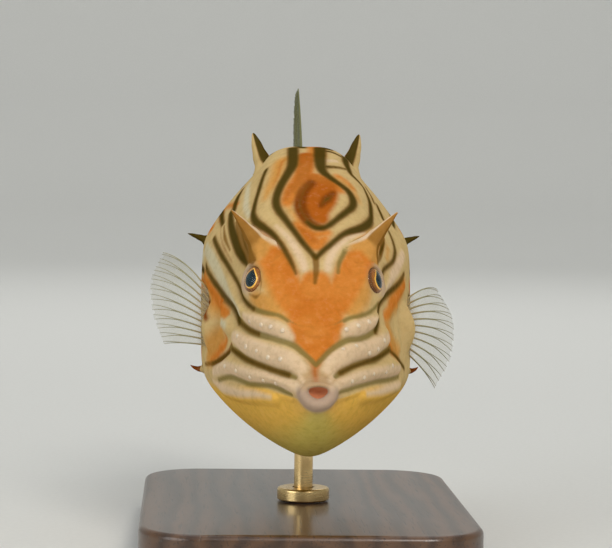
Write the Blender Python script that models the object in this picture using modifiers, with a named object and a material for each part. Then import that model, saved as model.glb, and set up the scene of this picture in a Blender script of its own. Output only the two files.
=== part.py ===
"""A life-size ornate cowfish, as a museum shows one, held by a plain stand.

The fish faces -Y and its back is up. The origin is under the middle of the base, on the floor.
Along the fish a point is placed by its station, the distance behind the lips, by its half width
from the mid plane and by its height over the mouth. The fish's own right side is at -X.
"""

import math

import bmesh
import bpy
import numpy as np
from mathutils import Matrix, Vector

MM = 0.001
GAP = 0.3 * MM

# Stand
BASE_LENGTH = 88 * MM
BASE_WIDTH = 62 * MM
BASE_HEIGHT = 7 * MM
BASE_CORNER = 12 * MM
BASE_EDGE = 1.2 * MM
COLLAR_RADIUS = 5 * MM
COLLAR_HEIGHT = 2.4 * MM
ROD_RADIUS = 1.8 * MM
KEEL_CLEARANCE = 10 * MM

# Whole fish
STANDARD_LENGTH = 98 * MM
TAIL_FIN_LENGTH = 27 * MM
KEEL_DEPTH = 15.6 * MM
MOUTH_HEIGHT = BASE_HEIGHT + KEEL_CLEARANCE + KEEL_DEPTH
SNOUT_Y = -48 * MM
ROD_Y = -2 * MM
LIPS_END = 1.0 * MM
HEAD_START = LIPS_END + GAP
GILL_STATION = 31.5 * MM
CARAPACE_END = 82 * MM
TAIL_BEND_START = 80 * MM
TAIL_BEND = -3.5 * MM

# Ridge lines of the carapace, in millimetres: station, half width, height over the mouth.
TOP_LINE = (
    (0, 0, 2.0), (3, 0, 3.7), (6, 0, 6.8), (10, 0, 11.6), (15, 0, 17.8), (20, 0, 23.6), (26, 0, 29.9),
    (34, 0, 36.4), (43, 0, 41.0), (52, 0, 42.3), (61, 0, 40.4), (70, 0, 35.2), (77, 0, 28.8), (82, 0, 24.4),
)
BACK_RIDGE = (
    (0, 1.9, 1.4), (3, 2.9, 2.7), (6, 4.3, 5.6), (10, 6.5, 10.5), (15, 8.9, 16.4), (20, 10.4, 21.6),
    (26, 11.0, 26.2), (34, 10.6, 31.6), (43, 10.1, 35.9), (52, 9.9, 36.9), (61, 9.3, 35.2), (70, 7.7, 30.4),
    (77, 5.5, 25.4), (82, 4.1, 22.2),
)
FLANK_RIDGE = (
    (0, 3.1, 0.3), (3, 4.2, 0.9), (6, 5.8, 2.6), (10, 8.3, 5.8), (15, 10.7, 9.8), (20, 12.3, 13.0),
    (26, 14.0, 16.4), (31, 16.0, 19.0), (36, 18.0, 21.2), (44, 19.5, 23.4), (53, 19.5, 24.2),
    (62, 17.8, 23.2), (70, 14.0, 20.8), (77, 9.3, 18.0), (82, 6.3, 16.4),
)
BELLY_RIDGE = (
    (0, 2.3, -1.7), (3, 3.7, -2.1), (6, 5.9, -2.4), (10, 8.6, -2.3), (15, 11.4, -2.0), (20, 13.8, -1.6),
    (26, 16.4, -1.2), (31, 18.2, -1.1), (36, 19.4, -1.0), (44, 19.9, -0.6), (53, 18.8, 1.0), (62, 15.8, 3.6),
    (70, 11.7, 6.9), (77, 7.6, 9.5), (82, 5.3, 10.8),
)
KEEL_LINE = (
    (0, 0, -2.6), (3, 0, -4.8), (6, 0, -7.1), (10, 0, -9.7), (15, 0, -12.1), (21, 0, -14.1), (29, 0, -15.5),
    (38, 0, -16.0), (47, 0, -14.7), (57, 0, -11.2), (66, 0, -5.9), (74, 0, 0.7), (82, 0, 7.4),
)
# How far each face bulges out between its ridges, as a share of its width: station, then
# back, upper side, lower side and belly.
BULGES = (
    (0, 0.12, 0.12, 0.12, 0.14),
    (10, 0.06, 0.05, 0.07, 0.12),
    (22, 0.08, 0.04, 0.03, 0.09),
    (30, 0.12, 0.03, -0.02, 0.08),
    (45, 0.18, 0.03, 0.01, 0.08),
    (82, 0.14, 0.10, 0.08, 0.12),
)
RIDGE_SOFTNESS = 0.085  # blur of the ridges, as a share of a face's width
FACES_ROUND = 8  # a ring has four faces on each side of the mid plane
RING_STEPS = 6  # points along each face of a ring
FINE_STEPS = 24  # points along each face before a ring is blurred
HEAD_RINGS = 26
TRUNK_RINGS = 24

# Tail stalk, in millimetres: station, half width, half height, height of its middle.
STALK_LINE = (
    (82, 4.6, 7.2, 15.9), (85, 4.0, 6.1, 15.6), (90, 3.2, 5.1, 15.3), (98, 2.1, 5.3, 15.2),
)
STALK_RINGS = 7
STALK_SIDES = 24

# Eyes
EYE_RADIUS = 3.7 * MM
EYE_SINK = 2.9 * MM
EYE_STATION = 19.0 * MM
EYE_FACE_SHARE = 0.28  # place on the upper side face, from the back ridge to the flank ridge
EYE_TURN_FORWARD = 8  # degrees that the eye looks ahead of its face
LID_RADIUS = 2.9 * MM
LID_THICKNESS = 0.65 * MM

# Mouth and nostrils
MOUTH_HALF_WIDTH = 1.7 * MM
MOUTH_HALF_HEIGHT = 1.0 * MM
MOUTH_DEPTH = 2.6 * MM
LIP_HALF_WIDTH = 2.45 * MM
UPPER_LIP_HEIGHT = 1.5 * MM  # from the mouth's middle to the middle of the lip
LOWER_LIP_HEIGHT = 2.1 * MM
UPPER_LIP_THICKNESS = 0.75 * MM
LOWER_LIP_THICKNESS = 1.4 * MM
NOSTRIL_RADIUS = 0.5 * MM
NOSTRIL_STATIONS = (11.4 * MM, 13.2 * MM)
NOSTRIL_FACE_SHARE = 0.42
GILL_SLIT_HALF_HEIGHT = 4.6 * MM
GILL_SLIT_HALF_WIDTH = 0.4 * MM
GILL_SLIT_DEPTH = 1.6 * MM
GILL_SLIT_HEIGHT = 9 * MM
GILL_SLIT_STATION = 30.2 * MM

# Horns over the eyes, and the spines of the carapace, in millimetres. A root is placed by its
# ridge and station, moved in and down by a shift. A tip is half width, station and height. The
# taper is the power that a spine narrows by: under 1 it stays broad for longer.
HORN = {"ridge": BACK_RIDGE, "root": 21.8, "shift": (1.5, -0.3), "tip": (14.9, 19.6, 30.6), "length": 5.0,
        "width": 6.2, "taper": 0.9}
SPINES = (
    {"ridge": BACK_RIDGE, "root": 49.0, "shift": (2.4, 0), "tip": (10.3, 54.0, 44.9), "length": 7.0,
     "width": 5.8, "taper": 0.65},
    {"ridge": BACK_RIDGE, "root": 66.5, "shift": (1.4, 0), "tip": (9.6, 72.5, 36.9), "length": 5.6,
     "width": 3.8, "taper": 0.7},
    {"ridge": FLANK_RIDGE, "root": 53.0, "shift": (0.2, 0), "tip": (22.7, 57.0, 25.2), "length": 4.0,
     "width": 2.4, "taper": 0.8},
    {"ridge": FLANK_RIDGE, "root": 67.5, "shift": (0.2, 0), "tip": (18.0, 72.4, 22.4), "length": 3.6,
     "width": 2.2, "taper": 0.8},
    {"ridge": BELLY_RIDGE, "root": 44.0, "shift": (0.2, 0), "tip": (21.9, 47.6, 0.2), "length": 3.6,
     "width": 2.2, "taper": 0.8},
    {"ridge": BELLY_RIDGE, "root": 60.5, "shift": (0.2, 0), "tip": (18.7, 65.6, 2.6), "length": 3.8,
     "width": 2.2, "taper": 0.8},
)
SPINE_SIDES = 10
SPINE_RINGS = 7
SPINE_SINK = 1.8 * MM
SPINE_BEND = 0.42

# Fins. A ray is a ridge on the membrane.
MEMBRANE = 0.5 * MM
RAY_THICKNESS = 0.95 * MM
TIP_THICKNESS = 0.5 * MM
FLESH_SHARE = 0.16  # share of a fin's length that its fleshy foot takes
RAY_FOOT_SHARE = 0.24  # half width of a ray, as a share of the gap between rays
FIN_ROWS = 8
MEMBRANE_REACH = 0.98  # how far the membrane reaches, as a share of the rays

SKIN_COLOUR = (0.62, 0.47, 0.33, 1)
ORANGE = (0.66, 0.27, 0.07, 1)
LIP_COLOUR = (0.62, 0.48, 0.42, 1)
HORN_COLOUR = (0.66, 0.55, 0.38, 1)
EYE_COLOUR = (0.05, 0.09, 0.11, 1)
FIN_COLOUR = (0.62, 0.50, 0.30, 1)
WOOD = (0.09, 0.055, 0.035, 1)
BRASS = (0.78, 0.60, 0.30, 1)


def clear_scene():
    for obj in list(bpy.data.objects):
        bpy.data.objects.remove(obj, do_unlink=True)


def collection(name, hidden=False):
    made = bpy.data.collections.new(name)
    bpy.context.scene.collection.children.link(made)
    made.hide_render = hidden
    return made


def material(name, colour, roughness, metallic=0.0):
    made = bpy.data.materials.new(name)
    made.use_nodes = True
    shader = made.node_tree.nodes["Principled BSDF"]
    shader.inputs["Base Color"].default_value = colour
    shader.inputs["Roughness"].default_value = roughness
    shader.inputs["Metallic"].default_value = metallic
    return made


def slopes_of(knots, values):
    """Slopes of a smooth curve through the values, each the mean of the two chords beside it."""
    chords = np.diff(values, axis=0) / np.diff(knots)[:, None]
    steps = np.diff(knots)[:, None]
    inner = (chords[:-1] * steps[1:] + chords[1:] * steps[:-1]) / (steps[1:] + steps[:-1])
    return np.vstack([chords[:1], inner, chords[-1:]])


def along(table, station):
    """The columns of a table after its first, read at a station by a smooth curve. Metres."""
    rows = np.array(table, float)
    knots, values = rows[:, 0], rows[:, 1:]
    slopes = slopes_of(knots, values)
    s = np.clip(np.atleast_1d(station) / MM, knots[0], knots[-1])
    i = np.clip(np.searchsorted(knots, s) - 1, 0, len(knots) - 2)
    h = (knots[i + 1] - knots[i])[:, None]
    t = ((s - knots[i])[:, None]) / h
    return (
        values[i] * (1 + 2 * t) * (1 - t) ** 2
        + slopes[i] * h * t * (1 - t) ** 2
        + values[i + 1] * t * t * (3 - 2 * t)
        + slopes[i + 1] * h * t * t * (t - 1)
    )


def ring_blur():
    """The matrix that blurs a ring's points with a Gaussian, round the ring."""
    count = FACES_ROUND * FINE_STEPS
    apart = np.abs(np.arange(count)[:, None] - np.arange(count)[None, :])
    apart = np.minimum(apart, count - apart)
    weights = np.exp(-0.5 * (apart / (RIDGE_SOFTNESS * FINE_STEPS)) ** 2)
    return weights / weights.sum(axis=1, keepdims=True)


def carapace_sections(stations):
    """Rings of the carapace, as (ring, point, (x, height)) in metres, round from the top line
    by +X to the keel and back. Each face is a straight line between two ridges with a
    parabola's bulge, and the closed ring is then blurred, which rounds its ridges."""
    corners = np.stack([along(line, stations) for line in
                        (TOP_LINE, BACK_RIDGE, FLANK_RIDGE, BELLY_RIDGE, KEEL_LINE)], axis=1) * MM
    mirrored = corners[:, 3:0:-1] * (-1, 1)
    corners = np.concatenate([corners, mirrored], axis=1)
    bulges = along(BULGES, stations)
    bulges = np.concatenate([bulges, bulges[:, ::-1]], axis=1)
    following = np.roll(corners, -1, axis=1)
    t = (np.arange(FINE_STEPS) / FINE_STEPS)[None, None, :, None]
    chord = following - corners
    outward = np.stack([-chord[..., 1], chord[..., 0]], axis=-1)
    rings = (
        corners[:, :, None] * (1 - t)
        + following[:, :, None] * t
        + outward[:, :, None] * bulges[:, :, None, None] * 4 * t * (1 - t)
    )
    rings = rings.reshape(len(corners), FACES_ROUND * FINE_STEPS, 2)
    return np.einsum("pq,rqc->rpc", ring_blur(), rings)


def to_world(x, station, height):
    """Points of the model from half width, station and height over the mouth, all in metres.
    Behind the carapace the tail bends sideways along a parabola."""
    reach = STANDARD_LENGTH + TAIL_FIN_LENGTH - TAIL_BEND_START
    share = np.clip((station - TAIL_BEND_START) / reach, 0, None)
    bent = x + TAIL_BEND * share**2
    return np.stack(np.broadcast_arrays(bent, SNOUT_Y + station, MOUTH_HEIGHT + height), axis=-1)


def mesh_object(name, points, faces, where, paint=None):
    mesh = bpy.data.meshes.new(name)
    mesh.from_pydata([tuple(p) for p in points], [], faces)
    body = bmesh.new()
    body.from_mesh(mesh)
    bmesh.ops.recalc_face_normals(body, faces=body.faces)
    body.to_mesh(mesh)
    body.free()
    if paint:
        mesh.materials.append(paint)
    made = bpy.data.objects.new(name, mesh)
    where.objects.link(made)
    return made


def loft(name, rings, where, paint=None):
    """A closed body through rings of as many points each, with a flat face at either end."""
    count, sides = rings.shape[:2]
    index = np.arange(count * sides).reshape(count, sides)
    ahead = np.roll(index, -1, axis=1)
    walls = np.stack([index[:-1], ahead[:-1], ahead[1:], index[1:]], axis=-1).reshape(-1, 4)
    faces = walls.tolist() + [index[0, ::-1].tolist(), index[-1].tolist()]
    return mesh_object(name, rings.reshape(-1, 3), faces, where, paint)


def outward_of(rings):
    """Unit normals of a grid of rings, away from the rings' middles."""
    round_it = np.roll(rings, -1, axis=1) - np.roll(rings, 1, axis=1)
    along_it = np.gradient(rings, axis=0)
    normals = np.cross(round_it, along_it)
    normals /= np.linalg.norm(normals, axis=-1, keepdims=True)
    away = rings - rings.mean(axis=1, keepdims=True)
    return normals * np.sign((normals * away).sum(axis=-1, keepdims=True))


def carapace_rings(start, end, count, grow=0.0):
    stations = np.linspace(start, end, count)
    sections = carapace_sections(stations)[:, :: FINE_STEPS // RING_STEPS]
    rings = to_world(sections[..., 0], stations[:, None], sections[..., 1])
    return rings + outward_of(rings) * grow


def stalk_rings(start, end, count, grow=0.0):
    """Rings of the tail stalk: ellipses, a little squared."""
    stations = np.linspace(start, end, count)
    half_width, half_height, middle = (along(STALK_LINE, stations) * MM).T[..., None]
    angle = np.linspace(0, 2 * math.pi, STALK_SIDES, endpoint=False)
    x = half_width * np.sign(np.cos(angle)) * np.abs(np.cos(angle)) ** 0.85
    z = middle + half_height * np.sign(np.sin(angle)) * np.abs(np.sin(angle)) ** 0.85
    rings = to_world(x, stations[:, None], z)
    return rings + outward_of(rings) * grow


def face_point(face, share, station, side):
    """A point of the carapace on one of its faces, its outward normal and the direction in
    which the stations run. Face 0 is the back, 1 the upper side; side is -1 or 1."""
    step = 0.4 * MM
    place = int(round((face + share) * FINE_STEPS))
    stations = np.array([station - step, station, station + step])
    near = carapace_sections(stations)
    points = to_world(near[:, :, 0], stations[:, None], near[:, :, 1])
    down = points[1, place + 1] - points[1, place - 1]
    back = points[2, place] - points[0, place]
    normal = np.cross(back, down)
    normal /= np.linalg.norm(normal)
    centre = points[1, place]
    if normal[0] * centre[0] < 0:
        normal = -normal
    flip = np.array([side, 1, 1])
    return Vector(centre * flip), Vector(normal * flip), Vector(back * flip).normalized()


def apply_boolean(obj, operation, others):
    """Joins or cuts obj with a collection of closed meshes, which are then removed."""
    group = bpy.data.collections.new("group")
    bpy.context.scene.collection.children.link(group)
    for other in others:
        for home in list(other.users_collection):
            home.objects.unlink(other)
        group.objects.link(other)
    change = obj.modifiers.new(operation.title(), "BOOLEAN")
    change.operation = operation
    change.operand_type = "COLLECTION"
    change.collection = group
    change.solver = "EXACT"
    bpy.context.view_layer.update()
    graph = bpy.context.evaluated_depsgraph_get()
    shaped = bpy.data.meshes.new_from_object(obj.evaluated_get(graph))
    obj.modifiers.remove(change)
    obj.data = shaped
    for other in list(group.objects):
        bpy.data.objects.remove(other, do_unlink=True)
    bpy.data.collections.remove(group)
    keep_largest(obj)


def volume_of(faces):
    total = 0.0
    for face in faces:
        corners = [v.co for v in face.verts]
        for b, c in zip(corners[1:], corners[2:]):
            total += corners[0].dot(b.cross(c)) / 6
    return abs(total)


def keep_largest(obj):
    """Leaves an object its largest closed surface only."""
    body = bmesh.new()
    body.from_mesh(obj.data)
    left, shells = set(body.faces), []
    while left:
        shell, front = set(), [left.pop()]
        while front:
            face = front.pop()
            shell.add(face)
            for edge in face.edges:
                for other in edge.link_faces:
                    if other in left:
                        left.discard(other)
                        front.append(other)
        shells.append(shell)
    shells.sort(key=volume_of)
    dropped = [face for shell in shells[:-1] for face in shell]
    bmesh.ops.delete(body, geom=dropped, context="FACES")
    body.to_mesh(obj.data)
    body.free()


def smooth_shade(obj, angle=38):
    obj.data.shade_smooth()
    obj.data.set_sharp_from_angle(angle=math.radians(angle))


def grown_body(where):
    """The fish's body grown by the gap, which trims what grows from it."""
    trunk = loft("trim_carapace", carapace_rings(HEAD_START, CARAPACE_END, 60, grow=GAP), where)
    stalk = loft("trim_stalk", stalk_rings(CARAPACE_END - 2 * MM, STANDARD_LENGTH, 9, grow=GAP), where)
    return [trunk, stalk]


def ball(name, centre, scale, where, turn=None, rings=10, segments=16):
    """An ellipsoid with half sizes scale, turned by a 3 by 3 matrix."""
    mesh = bpy.data.meshes.new(name)
    body = bmesh.new()
    bmesh.ops.create_uvsphere(body, u_segments=segments, v_segments=rings, radius=1)
    matrix = Matrix.Diagonal((*scale, 1))
    if turn is not None:
        matrix = turn.to_4x4() @ matrix
    bmesh.ops.transform(body, matrix=Matrix.Translation(centre) @ matrix, verts=body.verts)
    body.to_mesh(mesh)
    body.free()
    made = bpy.data.objects.new(name, mesh)
    where.objects.link(made)
    return made


def frame_on(normal, upward=Vector((0, 0, 1))):
    """A rotation whose Z is the normal and whose Y leans towards upward."""
    z = Vector(normal).normalized()
    x = upward.cross(z).normalized()
    return Matrix((x, z.cross(x), z)).transposed()


def eye_place(side):
    """Centre of an eye and the way it looks: out from its face, turned a little forwards."""
    surface, normal, _ = face_point(1, EYE_FACE_SHARE, EYE_STATION, side)
    turn = Matrix.Rotation(math.radians(-side * EYE_TURN_FORWARD), 3, "Z")
    look = turn @ normal
    return surface - look * EYE_SINK, look


def make_eyes(where, paint):
    for side, word in ((-1, "right"), (1, "left")):
        centre, look = eye_place(side)
        eye = ball(f"eye_{word}", centre, (EYE_RADIUS,) * 3, where, frame_on(look), 12, 20)
        eye.data.materials.append(paint)
        smooth_shade(eye)


def lid_ring(side, where, grow=0.0):
    """The fold of skin round an eye."""
    centre, look = eye_place(side)
    bpy.ops.mesh.primitive_torus_add(
        major_segments=22, minor_segments=8, major_radius=LID_RADIUS, minor_radius=LID_THICKNESS + grow
    )
    ring = bpy.context.object
    ring.name = "lid"
    seat = centre + look * math.sqrt(EYE_RADIUS**2 - LID_RADIUS**2)
    matrix = Matrix.Translation(seat) @ frame_on(look).to_4x4()
    ring.data.transform(matrix)
    for home in list(ring.users_collection):
        home.objects.unlink(ring)
    where.objects.link(ring)
    return ring


def make_head(where, scrap, paint):
    head = loft("head", carapace_rings(HEAD_START, GILL_STATION - GAP / 2, HEAD_RINGS), where, paint)
    apply_boolean(head, "UNION", [lid_ring(side, scrap) for side in (-1, 1)])
    cutters = []
    for side in (-1, 1):
        centre, look = eye_place(side)
        cutters.append(ball("socket", centre, (EYE_RADIUS + GAP,) * 3, scrap, frame_on(look), 14, 24))
        for station in NOSTRIL_STATIONS:
            spot, normal, _ = face_point(1, NOSTRIL_FACE_SHARE, station, side)
            cutters.append(ball("nostril", spot, (NOSTRIL_RADIUS, NOSTRIL_RADIUS, 1 * MM), scrap,
                                frame_on(normal), 6, 8))
        x = carapace_half_width(GILL_SLIT_STATION, GILL_SLIT_HEIGHT)
        spot = Vector(to_world(side * x, GILL_SLIT_STATION, GILL_SLIT_HEIGHT))
        cutters.append(ball("gill_slit", spot, (GILL_SLIT_DEPTH, GILL_SLIT_HALF_WIDTH,
                                                GILL_SLIT_HALF_HEIGHT), scrap, None, 12, 10))
    mouth = Vector(to_world(0, HEAD_START, 0))
    cutters.append(ball("mouth", mouth, (MOUTH_HALF_WIDTH, MOUTH_DEPTH, MOUTH_HALF_HEIGHT), scrap))
    apply_boolean(head, "DIFFERENCE", cutters)
    smooth_shade(head)


def carapace_half_width(station, height):
    """Half width of the carapace at a station and a height over the mouth."""
    ring = carapace_sections(np.array([station]))[0, : 4 * FINE_STEPS + 1]
    return float(np.interp(-height, -ring[:, 1], ring[:, 0]))


def make_lips(where, paint):
    """A ring of flesh round the mouth, thicker below and flat where it meets the head."""
    round_it = np.linspace(0, 2 * math.pi, 28, endpoint=False)[:, None]
    over = np.linspace(0, 2 * math.pi, 10, endpoint=False)[None, :]
    low = 0.5 - 0.5 * np.sin(round_it)
    thick = UPPER_LIP_THICKNESS + (LOWER_LIP_THICKNESS - UPPER_LIP_THICKNESS) * low
    height = UPPER_LIP_HEIGHT + (LOWER_LIP_HEIGHT - UPPER_LIP_HEIGHT) * low
    x = np.cos(round_it) * (LIP_HALF_WIDTH + thick * np.cos(over) * 0.85)
    z = np.sin(round_it) * (height + thick * np.cos(over) * 0.75) - 0.1 * MM
    station = 0.4 * MM + thick * np.sin(over) * 1.1
    rings = to_world(x, station, z)
    index = np.arange(rings.shape[0] * rings.shape[1]).reshape(rings.shape[:2])
    beside, above = np.roll(index, -1, axis=0), np.roll(index, -1, axis=1)
    both = np.roll(beside, -1, axis=1)
    faces = np.stack([index, beside, both, above], axis=-1).reshape(-1, 4).tolist()
    lips = mesh_object("lips", rings.reshape(-1, 3), faces, where, paint)
    body = bmesh.new()
    body.from_mesh(lips.data)
    cut = bmesh.ops.bisect_plane(
        body, geom=body.verts[:] + body.edges[:] + body.faces[:], dist=1e-7,
        plane_co=(0, SNOUT_Y + LIPS_END, 0), plane_no=(0, 1, 0), clear_outer=True,
    )
    rim = [e for e in cut["geom_cut"] if isinstance(e, bmesh.types.BMEdge)]
    bmesh.ops.triangle_fill(body, edges=rim, use_beauty=True)
    bmesh.ops.recalc_face_normals(body, faces=body.faces)
    body.to_mesh(lips.data)
    body.free()
    smooth_shade(lips)


def thorn(name, spec, side, where, paint=None):
    """A spine: ellipses that shrink along a bent line from a root sunk under its ridge to its
    tip, with a foot that widens into the ridge. The line leaves the ridge straight out."""
    station = spec["root"] * MM
    x, height = along(spec["ridge"], station)[0] * MM
    middle = (along(TOP_LINE, station)[0, 1] + along(KEEL_LINE, station)[0, 1]) / 2 * MM
    out = np.array([x, 0, height - middle])
    out /= np.linalg.norm(out)
    inwards, down = np.array(spec["shift"]) * MM
    root = np.array([x - inwards, station, height - down]) - out * SPINE_SINK
    tip = np.array(spec["tip"]) * MM
    knee = root + out * SPINE_BEND * np.linalg.norm(tip - root)
    t = np.linspace(0, 1, SPINE_RINGS)[:, None] ** 0.9
    line = root * (1 - t) ** 2 + knee * 2 * t * (1 - t) + tip * t * t
    ahead = np.gradient(line, axis=0)
    ahead /= np.linalg.norm(ahead, axis=1, keepdims=True)
    length_way = np.array([0, 1, 0]) - ahead * ahead[:, 1:2]
    length_way /= np.linalg.norm(length_way, axis=1, keepdims=True)
    width_way = np.cross(ahead, length_way)
    shrink = 0.8 * (1 - t) ** spec["taper"] + 0.2 * (1 - t) ** 5 + 0.04
    angle = np.linspace(0, 2 * math.pi, SPINE_SIDES, endpoint=False)[None, :, None]
    rings = (
        line[:, None]
        + length_way[:, None] * np.cos(angle) * (shrink * spec["length"] * MM / 2)[:, None]
        + width_way[:, None] * np.sin(angle) * (shrink * spec["width"] * MM / 2)[:, None]
    )
    rings[..., 0] *= side
    return loft(name, to_world(rings[..., 0], rings[..., 1], rings[..., 2]), where, paint)


def make_trunk(where, scrap, paint):
    trunk = loft("trunk", carapace_rings(GILL_STATION + GAP / 2, CARAPACE_END, TRUNK_RINGS), where, paint)
    thorns = [thorn("spine", spec, side, scrap) for spec in SPINES for side in (-1, 1)]
    apply_boolean(trunk, "UNION", thorns)
    smooth_shade(trunk)


def make_stalk(where, paint):
    rings = stalk_rings(CARAPACE_END + GAP, STANDARD_LENGTH, STALK_RINGS)
    smooth_shade(loft("tail_stalk", rings, where, paint))


def make_horns(where, scrap, paint):
    for side, word in ((-1, "right"), (1, "left")):
        horn = thorn(f"horn_{word}", HORN, side, where, paint)
        apply_boolean(horn, "DIFFERENCE", grown_body(scrap) + [lid_ring(side, scrap, grow=GAP)])
        smooth_shade(horn)


def fan_fin(name, roots, tips, bow, where, paint, foot_thickness, normal_hint):
    """A fin as one closed body. Its rays run from roots to tips, each bowed sideways by a
    parabola, and the membrane between them is thinner. Both faces share one split into
    triangles. roots, tips and bow hold a row for each ray, in stations and heights."""
    rays = len(roots)
    places = [0.0]
    for i in range(rays - 1):
        places += [i + RAY_FOOT_SHARE, i + 1 - RAY_FOOT_SHARE, i + 1.0]
    places = np.array(places)
    crest = np.isclose(places % 1, 0)
    which = np.arange(rays)

    def between(rows):
        return np.stack([np.interp(places, which, rows[:, k]) for k in range(rows.shape[1])], axis=1)

    root, tip, bend = between(roots), between(tips), between(bow)
    reach = np.where(crest, 1.0, MEMBRANE_REACH)[None, :, None]
    t = np.linspace(0, 1, FIN_ROWS)[:, None, None] ** 1.15 * reach
    middle = root + (tip - root) * t + bend * (4 * t * (1 - t))
    middle = to_world(middle[..., 0], middle[..., 1], middle[..., 2])
    across, outwards = np.gradient(middle, axis=1), np.gradient(middle, axis=0)
    normal = np.cross(across, outwards)
    normal /= np.linalg.norm(normal, axis=-1, keepdims=True)
    normal *= np.sign((normal * np.array(normal_hint)).sum(axis=-1, keepdims=True))
    t = t[..., 0]
    blade = np.where(crest[None, :], RAY_THICKNESS, MEMBRANE)
    blade = blade + (TIP_THICKNESS - blade) * t
    foot = np.clip(1 - t / FLESH_SHARE, 0, 1) ** 2
    half = (blade + (foot_thickness - blade) * foot)[..., None] / 2
    front, back = middle + normal * half, middle - normal * half
    rows, columns = middle.shape[:2]
    index = np.arange(rows * columns).reshape(rows, columns)
    a, b, c, d = index[:-1, :-1], index[:-1, 1:], index[1:, 1:], index[1:, :-1]
    sheet = np.concatenate([np.stack([a, b, c], -1).reshape(-1, 3), np.stack([a, c, d], -1).reshape(-1, 3)])
    rim = np.concatenate([index[0], index[1:, -1], index[-1, -2::-1], index[-2:0:-1, 0]])
    following, other = np.roll(rim, -1), rows * columns
    wall = np.stack([rim, following, following + other, rim + other], axis=-1)
    faces = sheet.tolist() + (sheet[:, ::-1] + other).tolist() + wall.tolist()
    points = np.concatenate([front.reshape(-1, 3), back.reshape(-1, 3)])
    return mesh_object(name, points, faces, where, paint)


def curve_rows(rows, count):
    """count rows spread evenly along a smooth curve through the given rows, in metres."""
    rows = np.array(rows, float)
    table = np.column_stack([np.linspace(0, 1, len(rows)), rows])
    return along(table, np.linspace(0, 1, count) * MM) * MM


def make_dorsal_fin(where, scrap, paint):
    """Stands on the back before the tail, swept back, and leans to the fish's right."""
    rays = 10
    roots = curve_rows([(0, 69.5, 33.0), (0, 73.5, 29.5), (0, 78.0, 25.2)], rays)
    tips = curve_rows([(-0.4, 80.5, 54.6), (-0.8, 85.0, 52.6), (-0.7, 88.6, 45.0), (-0.3, 87.6, 34.5)], rays)
    bow = curve_rows([(0.3, 0.6, 0), (0.3, 0.8, 0), (0.2, 0.6, 0)], rays)
    fin = fan_fin("dorsal_fin", roots, tips, bow, where, paint, 1.7 * MM, (1, 0, 0))
    apply_boolean(fin, "DIFFERENCE", grown_body(scrap))
    smooth_shade(fin)


def make_anal_fin(where, scrap, paint):
    """Hangs under the tail's root, swept back."""
    rays = 10
    roots = curve_rows([(0, 71.5, 0.8), (0, 76.0, 5.0), (0, 80.0, 8.4)], rays)
    tips = curve_rows([(1.0, 83.5, -15.0), (1.4, 88.0, -13.0), (1.2, 91.0, -6.5), (0.4, 90.0, 2.2)], rays)
    bow = curve_rows([(-0.3, 0.6, 0), (-0.3, 0.8, 0), (-0.1, 0.5, 0)], rays)
    fin = fan_fin("anal_fin", roots, tips, bow, where, paint, 2.4 * MM, (1, 0, 0))
    apply_boolean(fin, "DIFFERENCE", grown_body(scrap))
    smooth_shade(fin)


def make_tail_fin(where, paint):
    """A fan with a rounded end, its foot as thick as the end of the tail stalk."""
    rays = 11
    start = (STANDARD_LENGTH + GAP) / MM
    roots = curve_rows([(0, start, 20.2), (0, start, 15.2), (0, start, 10.2)], rays)
    tips = curve_rows([(0.3, 121.5, 28.6), (0.6, 124.4, 22.6), (0.2, 125.0, 15.2), (-0.5, 124.2, 7.8),
                       (-0.3, 121.0, 1.6)], rays)
    bow = curve_rows([(0, 0, 0.9), (0, 0, 0), (0, 0, -0.9)], rays)
    fin = fan_fin("tail_fin", roots, tips, bow, where, paint, 3.6 * MM, (1, 0, 0))
    smooth_shade(fin)


def make_pectoral_fins(where, scrap, paint):
    """Spread fans low on the flanks, mid stroke: the right one raised, the left one lowered."""
    rays = 11
    poses = {
        "right": (-1, [(-27.4, 42.5, 22.0), (-29.6, 46.0, 16.6), (-29.2, 47.5, 10.0), (-27.0, 46.0, 4.4)],
                  [(0, 0.4, 1.8), (-0.6, 0, 1.2), (-0.8, 0, 0.4)]),
        "left": (1, [(25.2, 46.0, 15.4), (28.6, 48.5, 9.4), (28.4, 48.5, 2.4), (25.0, 45.5, -3.6)],
                 [(0.6, 0, 1.4), (0.8, 0, 0.8), (0.6, 0, 0.2)]),
    }
    for word, (side, tips, bow) in poses.items():
        foot = [(side * 15.8, 37.5, 13.0), (side * 15.6, 36.4, 9.0), (side * 15.8, 35.2, 4.8)]
        roots, tips, bow = (curve_rows(rows, rays) for rows in (foot, tips, bow))
        fin = fan_fin(f"pectoral_fin_{word}", roots, tips, bow, where, paint, 3.0 * MM, (0, -1, 0))
        lobe = ball("lobe", Vector(to_world(side * 17.3 * MM, 34.6 * MM, 8.8 * MM)),
                    (2.7 * MM, 3.2 * MM, 5.2 * MM), scrap)
        apply_boolean(fin, "UNION", [lobe])
        apply_boolean(fin, "DIFFERENCE", grown_body(scrap))
        smooth_shade(fin)


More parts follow.
